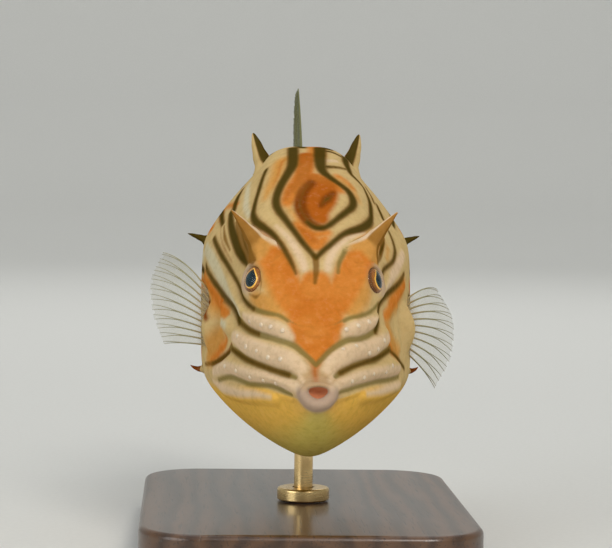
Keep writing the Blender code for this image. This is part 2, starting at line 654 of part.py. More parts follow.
def base_plate(name, where, paint):
    """A plate with round corners in plan and eased edges, standing on the floor."""
    mesh = bpy.data.meshes.new(name)
    body = bmesh.new()
    bmesh.ops.create_cube(body, size=1)
    bmesh.ops.scale(body, vec=(BASE_WIDTH, BASE_LENGTH, BASE_HEIGHT), verts=body.verts)
    bmesh.ops.translate(body, vec=(0, 0, BASE_HEIGHT / 2), verts=body.verts)
    upright = [e for e in body.edges if abs(e.verts[0].co.z - e.verts[1].co.z) > BASE_HEIGHT / 2]
    bmesh.ops.bevel(body, geom=upright, offset=BASE_CORNER, segments=8, profile=0.5, affect="EDGES")
    body.to_mesh(mesh)
    body.free()
    mesh.materials.append(paint)
    made = bpy.data.objects.new(name, mesh)
    where.objects.link(made)
    edge = made.modifiers.new("Edge", "BEVEL")
    edge.width = BASE_EDGE
    edge.segments = 3
    edge.limit_method = "ANGLE"
    return made


def make_collar(where, paint):
    """A turned ring round the foot of the rod."""
    foot, head = BASE_HEIGHT + GAP, BASE_HEIGHT + GAP + COLLAR_HEIGHT
    bore, lip = ROD_RADIUS + GAP, 0.5 * MM
    profile = [
        (bore, head), (COLLAR_RADIUS - lip, head), (COLLAR_RADIUS, head - lip),
        (COLLAR_RADIUS, foot), (bore, foot),
    ]
    mesh = bpy.data.meshes.new("stand_collar")
    links = [(i, (i + 1) % len(profile)) for i in range(len(profile))]
    mesh.from_pydata([(x, 0, z) for x, z in profile], links, [])
    mesh.materials.append(paint)
    collar = bpy.data.objects.new("stand_collar", mesh)
    collar.location = (0, ROD_Y, 0)
    where.objects.link(collar)
    turn = collar.modifiers.new("Turn", "SCREW")
    turn.steps = turn.render_steps = 32
    turn.use_merge_vertices = True
    turn.merge_threshold = 0.00001
    return collar


def make_rod(where, scrap, paint):
    """The rod that carries the fish. Its top is shaped to the belly."""
    foot, top = BASE_HEIGHT + GAP, MOUTH_HEIGHT - KEEL_DEPTH + 6 * MM
    mesh = bpy.data.meshes.new("stand_rod")
    body = bmesh.new()
    bmesh.ops.create_cone(
        body, cap_ends=True, segments=32, radius1=ROD_RADIUS, radius2=ROD_RADIUS, depth=top - foot,
        matrix=Matrix.Translation((0, ROD_Y, (top + foot) / 2)),
    )
    body.to_mesh(mesh)
    body.free()
    mesh.materials.append(paint)
    rod = bpy.data.objects.new("stand_rod", mesh)
    where.objects.link(rod)
    apply_boolean(rod, "DIFFERENCE", grown_body(scrap))
    smooth_shade(rod)


def main():
    clear_scene()
    fish = collection("ornate_cowfish")
    scrap = collection("cutters", hidden=True)
    skin = material("skin", SKIN_COLOUR, 0.4)
    face = material("face", ORANGE, 0.4)
    lip = material("lips", LIP_COLOUR, 0.35)
    horn = material("horn", HORN_COLOUR, 0.45)
    eye = material("eye", EYE_COLOUR, 0.06)
    fin = material("fin", FIN_COLOUR, 0.35)
    wood = material("wood", WOOD, 0.4)
    brass = material("brass", BRASS, 0.3, 1.0)
    make_head(fish, scrap, face)
    make_lips(fish, lip)
    make_eyes(fish, eye)
    make_horns(fish, scrap, horn)
    make_trunk(fish, scrap, skin)
    make_stalk(fish, skin)
    make_dorsal_fin(fish, scrap, fin)
    make_anal_fin(fish, scrap, fin)
    make_tail_fin(fish, fin)
    make_pectoral_fins(fish, scrap, fin)
    smooth_shade(base_plate("stand_base", fish, wood))
    smooth_shade(make_collar(fish, brass))
    make_rod(fish, scrap, brass)


main()
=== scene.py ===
"""Looks of a life-size ornate cowfish, shown on a plain display stand.

Lengths along the fish are worked out in millimetres, in the fish's own frame: x to its left,
station back from the lips, and height over the mouth. `world` turns them into metres in the
model's frame. A ring runs from the back's midline by the left side to the keel and round again.
"""

import logging
import math
from dataclasses import dataclass, field
from enum import Enum

import bpy
import numpy as np
from mathutils import Matrix, Vector
from mathutils.bvhtree import BVHTree

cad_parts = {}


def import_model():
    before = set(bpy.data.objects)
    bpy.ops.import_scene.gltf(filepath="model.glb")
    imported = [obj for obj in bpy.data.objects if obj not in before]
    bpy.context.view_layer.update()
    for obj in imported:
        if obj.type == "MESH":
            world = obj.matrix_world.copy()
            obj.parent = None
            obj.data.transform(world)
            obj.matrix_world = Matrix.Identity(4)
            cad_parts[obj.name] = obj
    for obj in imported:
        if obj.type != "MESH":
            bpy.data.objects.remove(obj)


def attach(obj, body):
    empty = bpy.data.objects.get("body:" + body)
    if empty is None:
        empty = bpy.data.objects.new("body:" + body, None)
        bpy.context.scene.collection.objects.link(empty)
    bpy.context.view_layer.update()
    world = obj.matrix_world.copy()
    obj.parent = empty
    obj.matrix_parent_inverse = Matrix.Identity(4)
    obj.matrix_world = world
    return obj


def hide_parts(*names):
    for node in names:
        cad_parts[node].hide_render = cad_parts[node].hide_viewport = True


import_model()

log = logging.getLogger("cowfish")

MM = 0.001
SNOUT_Y = -48.0
BASE_HEIGHT = 7.0
KEEL_CLEARANCE = 10.0
KEEL_DEPTH = 15.6
MOUTH_HEIGHT = BASE_HEIGHT + KEEL_CLEARANCE + KEEL_DEPTH
STANDARD_LENGTH = 98.0
TAIL_FIN_LENGTH = 27.0
TAIL_BEND_START = 80.0
TAIL_BEND = -3.5
CARAPACE_END = 82.0
SEED = 7

Array = np.ndarray


def smooth(low: float, high: float, values: Array) -> Array:
    """Rises smoothly from 0 at low to 1 at high: 3t^2 - 2t^3, with t held in 0 to 1."""
    t = np.clip((values - low) / (high - low), 0, 1)
    return t * t * (3 - 2 * t)


def hump(distance: Array, radius: float) -> Array:
    """1 at no distance and 0 from the radius on: the square of 1 - (d / r)^2."""
    return np.clip(1 - (distance / radius) ** 2, 0, 1) ** 2


def along(table: tuple, station: Array) -> Array:
    """Reads a table's columns at stations by a smooth curve through its rows.

    Args:
        table: rows of a station and its values.
        station: where to read it, in millimetres.

    Returns:
        One row of values for each station: a cubic through the rows, whose slope at a row is
        the mean of the slopes beside it, each weighted by the other's length.
    """
    rows = np.array(table, float)
    knots, values = rows[:, 0], rows[:, 1:]
    steps = np.diff(knots)[:, None]
    chords = np.diff(values, axis=0) / steps
    inner = (chords[:-1] * steps[1:] + chords[1:] * steps[:-1]) / (steps[1:] + steps[:-1])
    slopes = np.vstack([chords[:1], inner, chords[-1:]])
    s = np.clip(np.atleast_1d(np.asarray(station, float)), knots[0], knots[-1])
    i = np.clip(np.searchsorted(knots, s) - 1, 0, len(knots) - 2)
    h = (knots[i + 1] - knots[i])[:, None]
    t = (s - knots[i])[:, None] / h
    return (
        values[i] * (1 + 2 * t) * (1 - t) ** 2
        + slopes[i] * h * t * (1 - t) ** 2
        + values[i + 1] * t * t * (3 - 2 * t)
        + slopes[i + 1] * h * t * t * (t - 1)
    )


def through(rows: list, count: int) -> Array:
    """count rows spread evenly along the smooth curve through the given rows."""
    table = np.column_stack([np.linspace(0, 1, len(rows)), np.array(rows, float)])
    return along(table, np.linspace(0, 1, count))


def unit(vectors: Array) -> Array:
    """Vectors over their own length."""
    return vectors / np.maximum(np.linalg.norm(vectors, axis=-1, keepdims=True), 1e-9)


def bend(x: Array, station: Array) -> Array:
    """The sideways bend of the tail: x and a parabola from where the bend starts."""
    reach = STANDARD_LENGTH + TAIL_FIN_LENGTH - TAIL_BEND_START
    return x + TAIL_BEND * np.clip((station - TAIL_BEND_START) / reach, 0, None) ** 2


def fish(x: Array, station: Array, height: Array) -> Array:
    """Points in the fish's frame from broadcast columns, with the tail's bend put in."""
    x, station, height = np.broadcast_arrays(x, station, height)
    return np.stack([bend(x, station), station, height], axis=-1)


def world(points: Array) -> Array:
    """Points of the fish's frame in the model's frame, in metres."""
    return (np.asarray(points, float) + (0, SNOUT_Y, MOUTH_HEIGHT)) * MM


def across_rings(rings: Array) -> Array:
    """Unit normals of a grid of closed rings, pointing away from each ring's middle."""
    round_it = np.roll(rings, -1, axis=1) - np.roll(rings, 1, axis=1)
    normals = unit(np.cross(round_it, np.gradient(rings, axis=0)))
    away = rings - rings.mean(axis=1, keepdims=True)
    return normals * np.sign((normals * away).sum(axis=-1).mean())


# Shader expressions


class Wire:
    """A shader socket that Python arithmetic works on, one Math node for each sign."""

    def __init__(self, recipe: "Recipe", socket: bpy.types.NodeSocket) -> None:
        """Holds the socket and the recipe that its nodes go to."""
        self.recipe = recipe
        self.socket = socket

    def _sum(self, operation: str, first: "Wire | float", second: "Wire | float") -> "Wire":
        """A Math node of two values."""
        return self.recipe.node("ShaderNodeMath", {"operation": operation}, {0: first, 1: second})

    def __add__(self, other: "Wire | float") -> "Wire":
        """self + other."""
        return self._sum("ADD", self, other)

    __radd__ = __add__

    def __sub__(self, other: "Wire | float") -> "Wire":
        """self - other."""
        return self._sum("SUBTRACT", self, other)

    def __rsub__(self, other: "Wire | float") -> "Wire":
        """other - self."""
        return self._sum("SUBTRACT", other, self)

    def __mul__(self, other: "Wire | float") -> "Wire":
        """self * other."""
        return self._sum("MULTIPLY", self, other)

    __rmul__ = __mul__

    def __truediv__(self, other: "Wire | float") -> "Wire":
        """self / other."""
        return self._sum("DIVIDE", self, other)

    def __pow__(self, other: "Wire | float") -> "Wire":
        """self to the power of other."""
        return self._sum("POWER", self, other)


class Recipe:
    """A material in the making: its node tree and the few ways of adding to it."""

    def __init__(self, name: str) -> None:
        """Starts a material whose Principled shader waits for its sockets."""
        self.material = bpy.data.materials.new(name)
        self.material.use_nodes = True
        self.tree = self.material.node_tree
        self.shader = self.tree.nodes["Principled BSDF"]

    def node(self, kind: str, settings: dict | None = None, sockets: dict | None = None,
             out: int | str = 0) -> Wire:
        """Adds a node.

        Args:
            kind: the node's type.
            settings: its properties; ramp holds a colour ramp's stops.
            sockets: values or wires by socket name or number.
            out: the output wanted.

        Returns:
            The output, as a wire.
        """
        made = self.tree.nodes.new(kind)
        for key, value in (settings or {}).items():
            if key == "ramp":
                self._ramp(made.color_ramp, value)
            else:
                setattr(made, key, value)
        for key, value in (sockets or {}).items():
            self.join(made.inputs[key], value)
        return Wire(self, made.outputs[out])

    def join(self, socket: bpy.types.NodeSocket, value: "Wire | float | tuple") -> None:
        """Links a wire to a socket, or sets the socket's own value."""
        if isinstance(value, Wire):
            self.tree.links.new(value.socket, socket)
        elif isinstance(value, tuple) and len(value) == 3 and socket.type == "RGBA":
            socket.default_value = (*value, 1)
        else:
            socket.default_value = value

    def _ramp(self, ramp: bpy.types.ColorRamp, stops: tuple) -> None:
        """Sets a ramp's stops, each a place and a colour."""
        while len(ramp.elements) < len(stops):
            ramp.elements.new(0.5)
        for element, (place, colour) in zip(ramp.elements, stops):
            element.position = place
            element.color = (*colour, 1)

    def attribute(self, name: str) -> Wire:
        """A number that the mesh carries at its vertices."""
        return self.node("ShaderNodeAttribute", {"attribute_name": name}, out="Fac")

    def place(self, scale: tuple = (1, 1, 1)) -> Wire:
        """Object coordinates, scaled."""
        spot = self.node("ShaderNodeTexCoord", out="Object")
        return self.node("ShaderNodeMapping", None, {"Vector": spot, "Scale": scale})

    def noise(self, scale: float, detail: float = 3, spot: Wire | None = None, rough: float = 0.55) -> Wire:
        """Cloudy noise, about 0.5 in the mean, on object coordinates unless a spot is given."""
        spot = spot or self.place()
        sockets = {"Vector": spot, "Scale": scale, "Detail": detail, "Roughness": rough}
        return self.node("ShaderNodeTexNoise", None, sockets, "Fac")

    def cells(self, scale: float) -> Wire:
        """Distance in a field of cells on object coordinates."""
        sockets = {"Vector": self.place(), "Scale": scale}
        return self.node("ShaderNodeTexVoronoi", {"feature": "F1"}, sockets, "Distance")

    def rise(self, value: Wire, low: float, high: float) -> Wire:
        """Rises smoothly from 0 at low to 1 at high."""
        sockets = {"Value": value, "From Min": low, "From Max": high}
        return self.node("ShaderNodeMapRange", {"interpolation_type": "SMOOTHSTEP"}, sockets)

    def mix(self, factor: "Wire | float", first: "Wire | tuple", second: "Wire | tuple") -> Wire:
        """A colour between two colours."""
        made = self.tree.nodes.new("ShaderNodeMix")
        made.data_type = "RGBA"
        for index, value in ((0, factor), (6, first), (7, second)):
            self.join(made.inputs[index], value)
        return Wire(self, made.outputs[2])

    def bump(self, height: Wire, distance: float, strength: float = 1.0) -> Wire:
        """A bumped normal from a height."""
        sockets = {"Height": height, "Distance": distance, "Strength": strength}
        return self.node("ShaderNodeBump", None, sockets, "Normal")

    def finish(self, **sockets: "Wire | float | tuple") -> bpy.types.Material:
        """Sets the shader's sockets, written with _ for a space, and gives the material."""
        for key, value in sockets.items():
            self.join(self.shader.inputs[key.replace("_", " ")], value)
        return self.material


# Finishes


@dataclass(frozen=True)
class SkinFinish:
    """Skin over bony plates: soft zones of colour under dark lines with brown edges; some ember, rust, brown
    and dark zones are painted shade.
    """

    cream: tuple = (0.59, 0.42, 0.185)
    tan: tuple = (0.60, 0.29, 0.07)
    orange: tuple = (0.62, 0.19, 0.026)
    ember: tuple = (0.42, 0.105, 0.010)
    rust: tuple = (0.20, 0.045, 0.004)
    pale: tuple = (0.70, 0.51, 0.32)
    chalk: tuple = (0.60, 0.52, 0.33)
    gold: tuple = (0.80, 0.46, 0.085)
    moss: tuple = (0.66, 0.52, 0.12)
    olive: tuple = (0.20, 0.15, 0.04)
    lilac: tuple = (0.45, 0.32, 0.23)
    muzzle: tuple = (0.46, 0.29, 0.15)
    throat: tuple = (0.60, 0.23, 0.11)
    brown: tuple = (0.19, 0.085, 0.012)
    dark: tuple = (0.055, 0.038, 0.005)

    def make(self) -> bpy.types.Material:
        """Lays the zones over each other, from the ground up to the dark lines."""
        r = Recipe("cowfish_skin")
        cloud = r.noise(260, 4)
        fine = r.noise(1500, 3)
        wobble = (cloud - 0.5) * 0.5 + (fine - 0.5) * 0.35
        under = r.mix(r.rise(r.attribute("girth") + wobble * 0.2, 3.3, 3.9), self.gold, self.moss)
        ground = r.mix(r.rise(r.attribute("belly") + wobble * 0.1, 0.0, 0.13), self.cream, under)
        ground = r.mix(r.attribute("muzzle"), ground, self.muzzle)
        soft = {"tan": 1.3, "orange": 0.95, "ember": 0.8, "pale": 0.6, "chalk": 0.6, "rust": 0.6}
        for tone, width in soft.items():
            mask = r.rise(r.attribute(tone) + wobble * (0.8 * width), -width, width)
            ground = r.mix(mask, ground, getattr(self, tone))
        drift = r.rise(r.noise(150, 3), 0.42, 0.68)
        glow = r.rise(r.attribute("orange"), -0.6, 1.6)
        ground = r.mix(drift * glow * 0.3, ground, self.ember)
        ground = r.mix((1 - drift) * glow * 0.22, ground, self.tan)
        mottle = r.noise(700, 5, rough=0.7)
        ground = r.mix(r.rise(mottle, 0.42, 0.72) * 0.2, ground, self.brown)
        ground = r.mix(r.rise(1 - mottle, 0.5, 0.8) * 0.16, ground, self.pale)
        ground = r.mix(r.attribute("rim"), ground, self.lilac)
        ground = r.mix(r.rise(0 - r.attribute("plate"), 0.3, 1.0) * 0.14, ground, self.brown)
        edge = wobble * 0.3
        lines = (("olive", -0.4, 0.25, 0.85), ("brown", -0.35, 0.25, 0.85))
        for tone, low, high, share in lines:
            ground = r.mix(r.rise(r.attribute(tone) + edge, low, high) * share, ground, getattr(self, tone))
        dark = r.attribute("dark") + edge
        ground = r.mix(r.rise(dark, -1.1, 0.1) * 0.3, ground, self.brown)
        ground = r.mix(r.rise(dark, -0.5, 0.1) * 0.65, ground, self.brown)
        ground = r.mix(r.rise(dark, -0.36, 0.42) * 0.92, ground, self.dark)
        ground = r.mix(r.rise(r.attribute("lip"), 0.15, 0.85), ground, self.lilac)
        ground = r.mix(r.attribute("throat"), ground, self.throat)
        grain = r.cells(1700)
        height = (1 - grain) * 0.5 + fine * 0.35 + r.attribute("plate") * 0.5
        return r.finish(
            Base_Color=ground,
            Roughness=r.rise(cloud, 0.2, 0.8) * 0.14 + 0.4,
            Specular_IOR_Level=0.0,
            Normal=r.bump(height, 0.00006, 0.5),
            Subsurface_Weight=0.1,
            Subsurface_Radius=(0.0014, 0.0007, 0.00035),
            Subsurface_Scale=1.0,
        )


@dataclass(frozen=True)
class EyeFinish:
    """An eyeball: near black pupil, thin gold ring and a dark orange brown iris, whose outer part is darkened
    with painted lid shade.
    """

    pupil: tuple = (0.004, 0.011, 0.016)
    sheen: tuple = (0.008, 0.04, 0.05)
    gold: tuple = (0.72, 0.40, 0.06)
    iris: tuple = (0.24, 0.085, 0.014)
    dark_spokes_and_lid_shade: tuple = (0.06, 0.022, 0.006)

    def make(self) -> bpy.types.Material:
        """Paints by the distance outside the pupil, in millimetres, with fine spokes."""
        r = Recipe("cowfish_eye")
        outside = r.attribute("pupil")
        spokes = r.noise(900, 4, rough=0.7)
        colour = r.mix(r.rise(spokes, 0.3, 0.75) * 0.5, self.iris, self.dark_spokes_and_lid_shade)
        # painted shade: the iris darkens outwards from 2.1 mm off the line of sight, where the lid shades it
        colour = r.mix(r.rise(r.attribute("radius"), 2.1, 2.5) * 0.8, colour, self.dark_spokes_and_lid_shade)
        ring = r.rise(outside + (spokes - 0.5) * 0.14, 0.16, 0.32)
        colour = r.mix(ring, self.gold, colour)
        inner = r.mix(r.rise(r.noise(420, 2), 0.35, 0.7), self.pupil, self.sheen)
        colour = r.mix(r.rise(outside, -0.03, 0.03), inner, colour)
        gloss = r.rise(spokes, 0.3, 0.7) * 0.1 + 0.3
        return r.finish(Base_Color=colour, Roughness=gloss, Specular_IOR_Level=0.2)


@dataclass(frozen=True)
class PearlFinish:
    """Whitish beads, cloudier in patches: real raised beads, whose white is partly a painted highlight."""

    white_and_glint: tuple = (0.74, 0.60, 0.42)
    lilac: tuple = (0.62, 0.46, 0.32)

    def make(self) -> bpy.types.Material:
        """Mixes the two colours by noise."""
        r = Recipe("pearl_beads")
        cloud = r.noise(900, 3)
        return r.finish(Base_Color=r.mix(r.rise(cloud, 0.4, 0.75), self.white_and_glint, self.lilac), Roughness=0.3,
                        Normal=r.bump(cloud, 0.00003, 0.3), Coat_Weight=0.3, Coat_Roughness=0.15)


@dataclass(frozen=True)
class CorneaFinish:
    """Clear wet film over the eye."""

    def make(self) -> bpy.types.Material:
        """A clear shader whose gloss is a little duller in patches."""
        r = Recipe("cowfish_cornea")
        return r.finish(
            Base_Color=(1.0, 1.0, 1.0),
            Roughness=r.rise(r.noise(500, 2), 0.4, 0.8) * 0.03 + 0.05,
            IOR=1.12,
            Transmission_Weight=1.0,
        )


@dataclass(frozen=True)
class RayFinish:
    """Horny fin rays, jointed across and darker towards the foot."""

    name: str
    pale: tuple = (0.52, 0.39, 0.16)
    deep: tuple = (0.36, 0.19, 0.05)
    clear: float = 0.92

    def make(self) -> bpy.types.Material:
        """Joints come from a wave along the ray, clouding from noise."""
        r = Recipe(self.name)
        reach = r.attribute("along")
        joints = r.node("ShaderNodeMath", {"operation": "SINE"}, {0: reach * 190.0})
        cloud = r.noise(600, 3)
        colour = r.mix(r.rise(reach + (cloud - 0.5) * 0.4, 0.0, 0.5), self.deep, self.pale)
        colour = r.mix(r.rise(joints, 0.6, 1.0) * 0.35, colour, self.deep)
        return r.finish(
            Base_Color=colour,
            Roughness=0.36,
            Alpha=self.clear - r.rise(reach, 0.75, 1.0) * 0.25,
            Normal=r.bump(joints * 0.5 + cloud, 0.00004, 0.5),
            Coat_Weight=0.2,
        )


@dataclass(frozen=True)
class WebFinish:
    """The thin membrane between the rays, clearer towards its edge."""

    name: str
    tint: tuple = (0.44, 0.31, 0.10)
    foot: tuple = (0.50, 0.20, 0.04)
    solid: float = 0.5
    foot_solid: float = 0.95
    foot_reach: float = 0.5

    def make(self) -> bpy.types.Material:
        """Alpha falls with the distance from the foot and thins in clouds."""
        r = Recipe(self.name)
        reach, cloud = r.attribute("along"), r.noise(380, 5, rough=0.65)
        colour = r.mix(r.rise(reach + (cloud - 0.5) * 0.3, 0.02, 0.34), self.foot, self.tint)
        veil = 1 - r.rise(reach, 0.0, self.foot_reach)
        alpha = veil * (self.foot_solid - self.solid) + self.solid
        alpha = alpha * (1 - r.rise(cloud, 0.45, 0.8) * 0.25 - r.rise(reach, 0.6, 1.0) * 0.3)
        return r.finish(Base_Color=colour, Roughness=0.4, Alpha=alpha, Normal=r.bump(cloud, 0.00005, 0.6),
                        Coat_Weight=0.15)


@dataclass(frozen=True)
class WoodFinish:
    """Dark walnut under satin lacquer: grain stretched along the base, with short pores."""

    light: tuple = (0.13, 0.062, 0.028)
    deep: tuple = (0.035, 0.016, 0.008)

    def make(self) -> bpy.types.Material:
        """Rings are a wave of the distance from a far axis, bent by noise."""
        r = Recipe("stand_walnut")
        spot = r.place((1.0, 0.12, 1.0))
        drift = r.noise(60, 4, spot)
        figure = r.node("ShaderNodeTexWave", {"wave_type": "RINGS", "rings_direction": "Y"},
                        {"Vector": r.place((1.0, 0.16, 1.0)), "Scale": 70.0, "Distortion": 7.0,
                         "Detail": 3.0, "Detail Scale": 1.6}, "Fac")
        pores = r.rise(r.noise(2600, 2, r.place((1.0, 0.05, 1.0))), 0.56, 0.7)
        colour = r.mix(figure * 0.65 + drift * 0.35, self.deep, self.light)
        colour = r.mix(pores * 0.6, colour, (0.012, 0.006, 0.003))
        return r.finish(Base_Color=colour, Roughness=r.rise(drift, 0.2, 0.8) * 0.12 + 0.3,
                        Normal=r.bump(1 - pores, 0.00006, 0.5), Coat_Weight=0.45, Coat_Roughness=0.16)


@dataclass(frozen=True)
class BrassFinish:
    """Brass brushed round its axis, warmer and duller in cloudy patches."""

    bright: tuple = (0.80, 0.58, 0.27)
    aged: tuple = (0.52, 0.33, 0.13)

    def make(self) -> bpy.types.Material:
        """Brush marks are noise squeezed along the height."""
        r = Recipe("stand_brass")
        brush = r.noise(900, 3, r.place((0.25, 0.25, 9.0)))
        patch = r.noise(240, 4)
        colour = r.mix(r.rise(patch, 0.4, 0.8) * 0.6, self.bright, self.aged)
        return r.finish(Base_Color=colour, Metallic=1.0,
                        Roughness=brush * 0.16 + 0.2 + r.rise(patch, 0.45, 0.8) * 0.1,
                        Normal=r.bump(brush, 0.00002, 0.5))


@dataclass(frozen=True)
class FloorFinish:
    """Plain pale card."""

    colour: tuple = (0.70, 0.70, 0.67)

    def make(self) -> bpy.types.Material:
        """Paper grain under an even tone."""
        r = Recipe("pale_card")
        grain = r.noise(900, 4)
        deeper = tuple(0.97 * c for c in self.colour)
        return r.finish(Base_Color=r.mix(r.rise(grain, 0.3, 0.7), self.colour, deeper), Roughness=0.85,
                        Normal=r.bump(grain, 0.00005, 0.2))


def turn_outward(mesh: bpy.types.Mesh) -> None:
    """Flips a closed mesh whose enclosed volume, summed over its triangles, is negative."""
    mesh.calc_loop_triangles()
    points = np.empty(3 * len(mesh.vertices), np.float32)
    corners = np.empty(3 * len(mesh.loop_triangles), np.int32)
    mesh.vertices.foreach_get("co", points)
    mesh.loop_triangles.foreach_get("vertices", corners)
    a, b, c = points.reshape(-1, 3)[corners.reshape(-1, 3)].transpose(1, 0, 2).astype(float)
    if (a * np.cross(b, c)).sum() < 0:
        mesh.flip_normals()
    mesh.update()


def mesh_piece(name: str, points: Array, faces: Array | list, material: bpy.types.Material,
               numbers: dict | None = None, metres: bool = False) -> bpy.types.Object:
    """Makes a shaded piece that rides on the fish's one body.

    Args:
        name: the piece's name.
        points: vertices, one row each, in the fish's frame, or in metres.
        faces: rows of vertex numbers.
        material: its finish.
        numbers: values at the vertices by attribute name.
        metres: whether the points are in the model's frame already.

    Returns:
        The object, at the origin, unturned.
    """
    mesh = bpy.data.meshes.new(name)
    corners = faces.tolist() if isinstance(faces, np.ndarray) else faces
    mesh.from_pydata((points if metres else world(points)).tolist(), [], corners)
    for key, values in (numbers or {}).items():
        layer = mesh.attributes.new(key, "FLOAT", "POINT")
        layer.data.foreach_set("value", np.ascontiguousarray(values, np.float32).ravel())
    mesh.materials.append(material)
    mesh.shade_smooth()
    turn_outward(mesh)
    made = bpy.data.objects.new(name, mesh)
    bpy.context.scene.collection.objects.link(made)
    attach(made, "root")
    return made


def ring_faces(rows: int, columns: int) -> Array:
    """Quads of a grid whose columns close on themselves, facing out where rows run back and
    columns run from the top by +X."""
    index = np.arange(rows * columns).reshape(rows, columns)
    ahead = np.roll(index, -1, axis=1)
    return np.stack([index[:-1], index[1:], ahead[1:], ahead[:-1]], axis=-1).reshape(-1, 4)


def closed_loft(rings: Array) -> tuple[Array, list]:
    """Vertices and faces of rings closed at both ends by fans round a middle vertex."""
    rows, columns = rings.shape[:2]
    points = np.concatenate([rings.reshape(-1, 3), rings[:1].mean(axis=1), rings[-1:].mean(axis=1)])
    first = np.arange(columns)
    last = first + (rows - 1) * columns
    start = np.full(columns, rows * columns)
    front = np.stack([start, first, np.roll(first, -1)], -1)
    rear = np.stack([start + 1, np.roll(last, -1), last], -1)
    return points, ring_faces(rows, columns).tolist() + front.tolist() + rear.tolist()


def ends_too(numbers: dict) -> dict:
    """Numbers of a loft's vertices, with the first and last again for its two middle vertices."""
    return {key: np.append(np.ravel(v), [np.ravel(v)[0], np.ravel(v)[-1]]) for key, v in numbers.items()}


# The fish's form

TOP_LINE = (
    (0, 0, 2.0), (3, 0, 3.7), (6, 0, 6.8), (10, 0, 11.6), (15, 0, 17.8), (20, 0, 23.6), (26, 0, 29.9),
    (34, 0, 36.4), (43, 0, 41.0), (52, 0, 42.3), (61, 0, 40.4), (70, 0, 35.2), (77, 0, 28.8), (82, 0, 24.4),
)
BACK_RIDGE = (
    (0, 1.9, 1.4), (3, 2.9, 2.7), (6, 4.3, 5.6), (10, 6.5, 10.5), (15, 8.9, 16.4), (20, 10.4, 21.6),
    (26, 11.0, 26.2), (34, 10.6, 31.6), (43, 10.1, 35.9), (52, 9.9, 36.9), (61, 9.3, 35.2), (70, 7.7, 30.4),
    (77, 5.5, 25.4), (82, 4.1, 22.2),
)
FLANK_RIDGE = (
    (0, 3.1, 0.3), (3, 4.2, 0.9), (6, 5.8, 2.6), (10, 8.3, 5.8), (15, 10.7, 9.8), (20, 12.3, 13.0),
    (26, 14.0, 16.4), (31, 16.0, 19.0), (36, 18.0, 21.2), (44, 19.5, 23.4), (53, 19.5, 24.2),
    (62, 17.8, 23.2), (70, 14.0, 20.8), (77, 9.3, 18.0), (82, 6.3, 16.4),
)
BELLY_RIDGE = (
    (0, 2.3, -1.7), (3, 3.7, -2.1), (6, 5.9, -2.4), (10, 8.6, -2.3), (15, 11.4, -2.0), (20, 13.8, -1.6),
    (26, 16.4, -1.2), (31, 18.2, -1.1), (36, 19.4, -1.0), (44, 19.9, -0.6), (53, 18.8, 1.0), (62, 15.8, 3.6),
    (70, 11.7, 6.9), (77, 7.6, 9.5), (82, 5.3, 10.8),
)
KEEL_LINE = (
    (0, 0, -2.6), (3, 0, -4.8), (6, 0, -7.1), (10, 0, -9.7), (15, 0, -12.1), (21, 0, -14.1), (29, 0, -15.5),
    (38, 0, -16.0), (47, 0, -14.7), (57, 0, -11.2), (66, 0, -5.9), (74, 0, 0.7), (82, 0, 7.4),
)
BULGES = (
    (0, 0.12, 0.12, 0.12, 0.14),
    (10, 0.06, 0.05, 0.07, 0.12),
    (22, 0.08, 0.04, 0.03, 0.09),
    (30, 0.12, 0.03, -0.02, 0.08),
    (45, 0.18, 0.03, 0.01, 0.08),
    (82, 0.14, 0.10, 0.08, 0.12),
)
STALK_LINE = (
    (82, 4.6, 7.2, 15.9), (85, 4.0, 6.1, 15.6), (90, 3.2, 5.1, 15.3), (98, 2.1, 5.3, 15.2),
)


@dataclass
class Carapace:
    """The boxy body: rings of eight faces between a back line, three ridges a side and a keel."""

    face_steps: int = 45
    softness: float = 0.085

    @property
    def columns(self) -> int:
        """Points round a ring."""
        return 8 * self.face_steps

    def girth(self) -> Array:
        """Place round a ring, 0 on the back, 1 to 3 at the ridges, 4 at the keel, both sides."""
        turn = np.arange(self.columns) / self.face_steps
        return np.minimum(turn, 8 - turn)

    def sections(self, stations: Array) -> Array:
        """Rings as (ring, point, (x, height)).

        A face is the line between two ridges plus a parabola's bulge across it; the closed ring
        is then blurred by a Gaussian round the ring, which rounds the ridges.
        """
        lines = (TOP_LINE, BACK_RIDGE, FLANK_RIDGE, BELLY_RIDGE, KEEL_LINE)
        corners = np.stack([along(line, stations) for line in lines], axis=1)
        corners = np.concatenate([corners, corners[:, 3:0:-1] * (-1, 1)], axis=1)
        bulges = along(BULGES, stations)
        bulges = np.concatenate([bulges, bulges[:, ::-1]], axis=1)
        chord = np.roll(corners, -1, axis=1) - corners
        outward = np.stack([-chord[..., 1], chord[..., 0]], axis=-1)
        t = (np.arange(self.face_steps) / self.face_steps)[None, None, :, None]
        swell = bulges[:, :, None, None] * 4 * t * (1 - t)
        rings = (corners[:, :, None] + chord[:, :, None] * t + outward[:, :, None] * swell)
        rings = rings.reshape(len(corners), self.columns, 2)
        apart = np.arange(self.columns)
        apart = np.minimum(apart, self.columns - apart)
        weights = np.exp(-0.5 * (apart / (self.softness * self.face_steps)) ** 2)
        spectrum = np.fft.fft(weights / weights.sum())[None, :, None]
        return np.fft.ifft(np.fft.fft(rings, axis=1) * spectrum, axis=1).real

    def seat(self, girth: float, station: float, side: int) -> tuple[Array, Array, Array]:
        """A point of the carapace, its outward normal and the way back along it."""
        stations = np.array([station - 0.4, station, station + 0.4])
        rings = self.sections(stations)
        points = fish(rings[..., 0], stations[:, None], rings[..., 1])
        place = int(round(girth * self.face_steps))
        down = points[1, place + 1] - points[1, place - 1]
        back = points[2, place] - points[0, place]
        normal = unit(np.cross(back, down))
        normal = normal * np.sign(normal[0] * points[1, place, 0] + 1e-9)
        flip = np.array([side, 1, 1])
        return points[1, place] * flip, normal * flip, unit(back) * flip


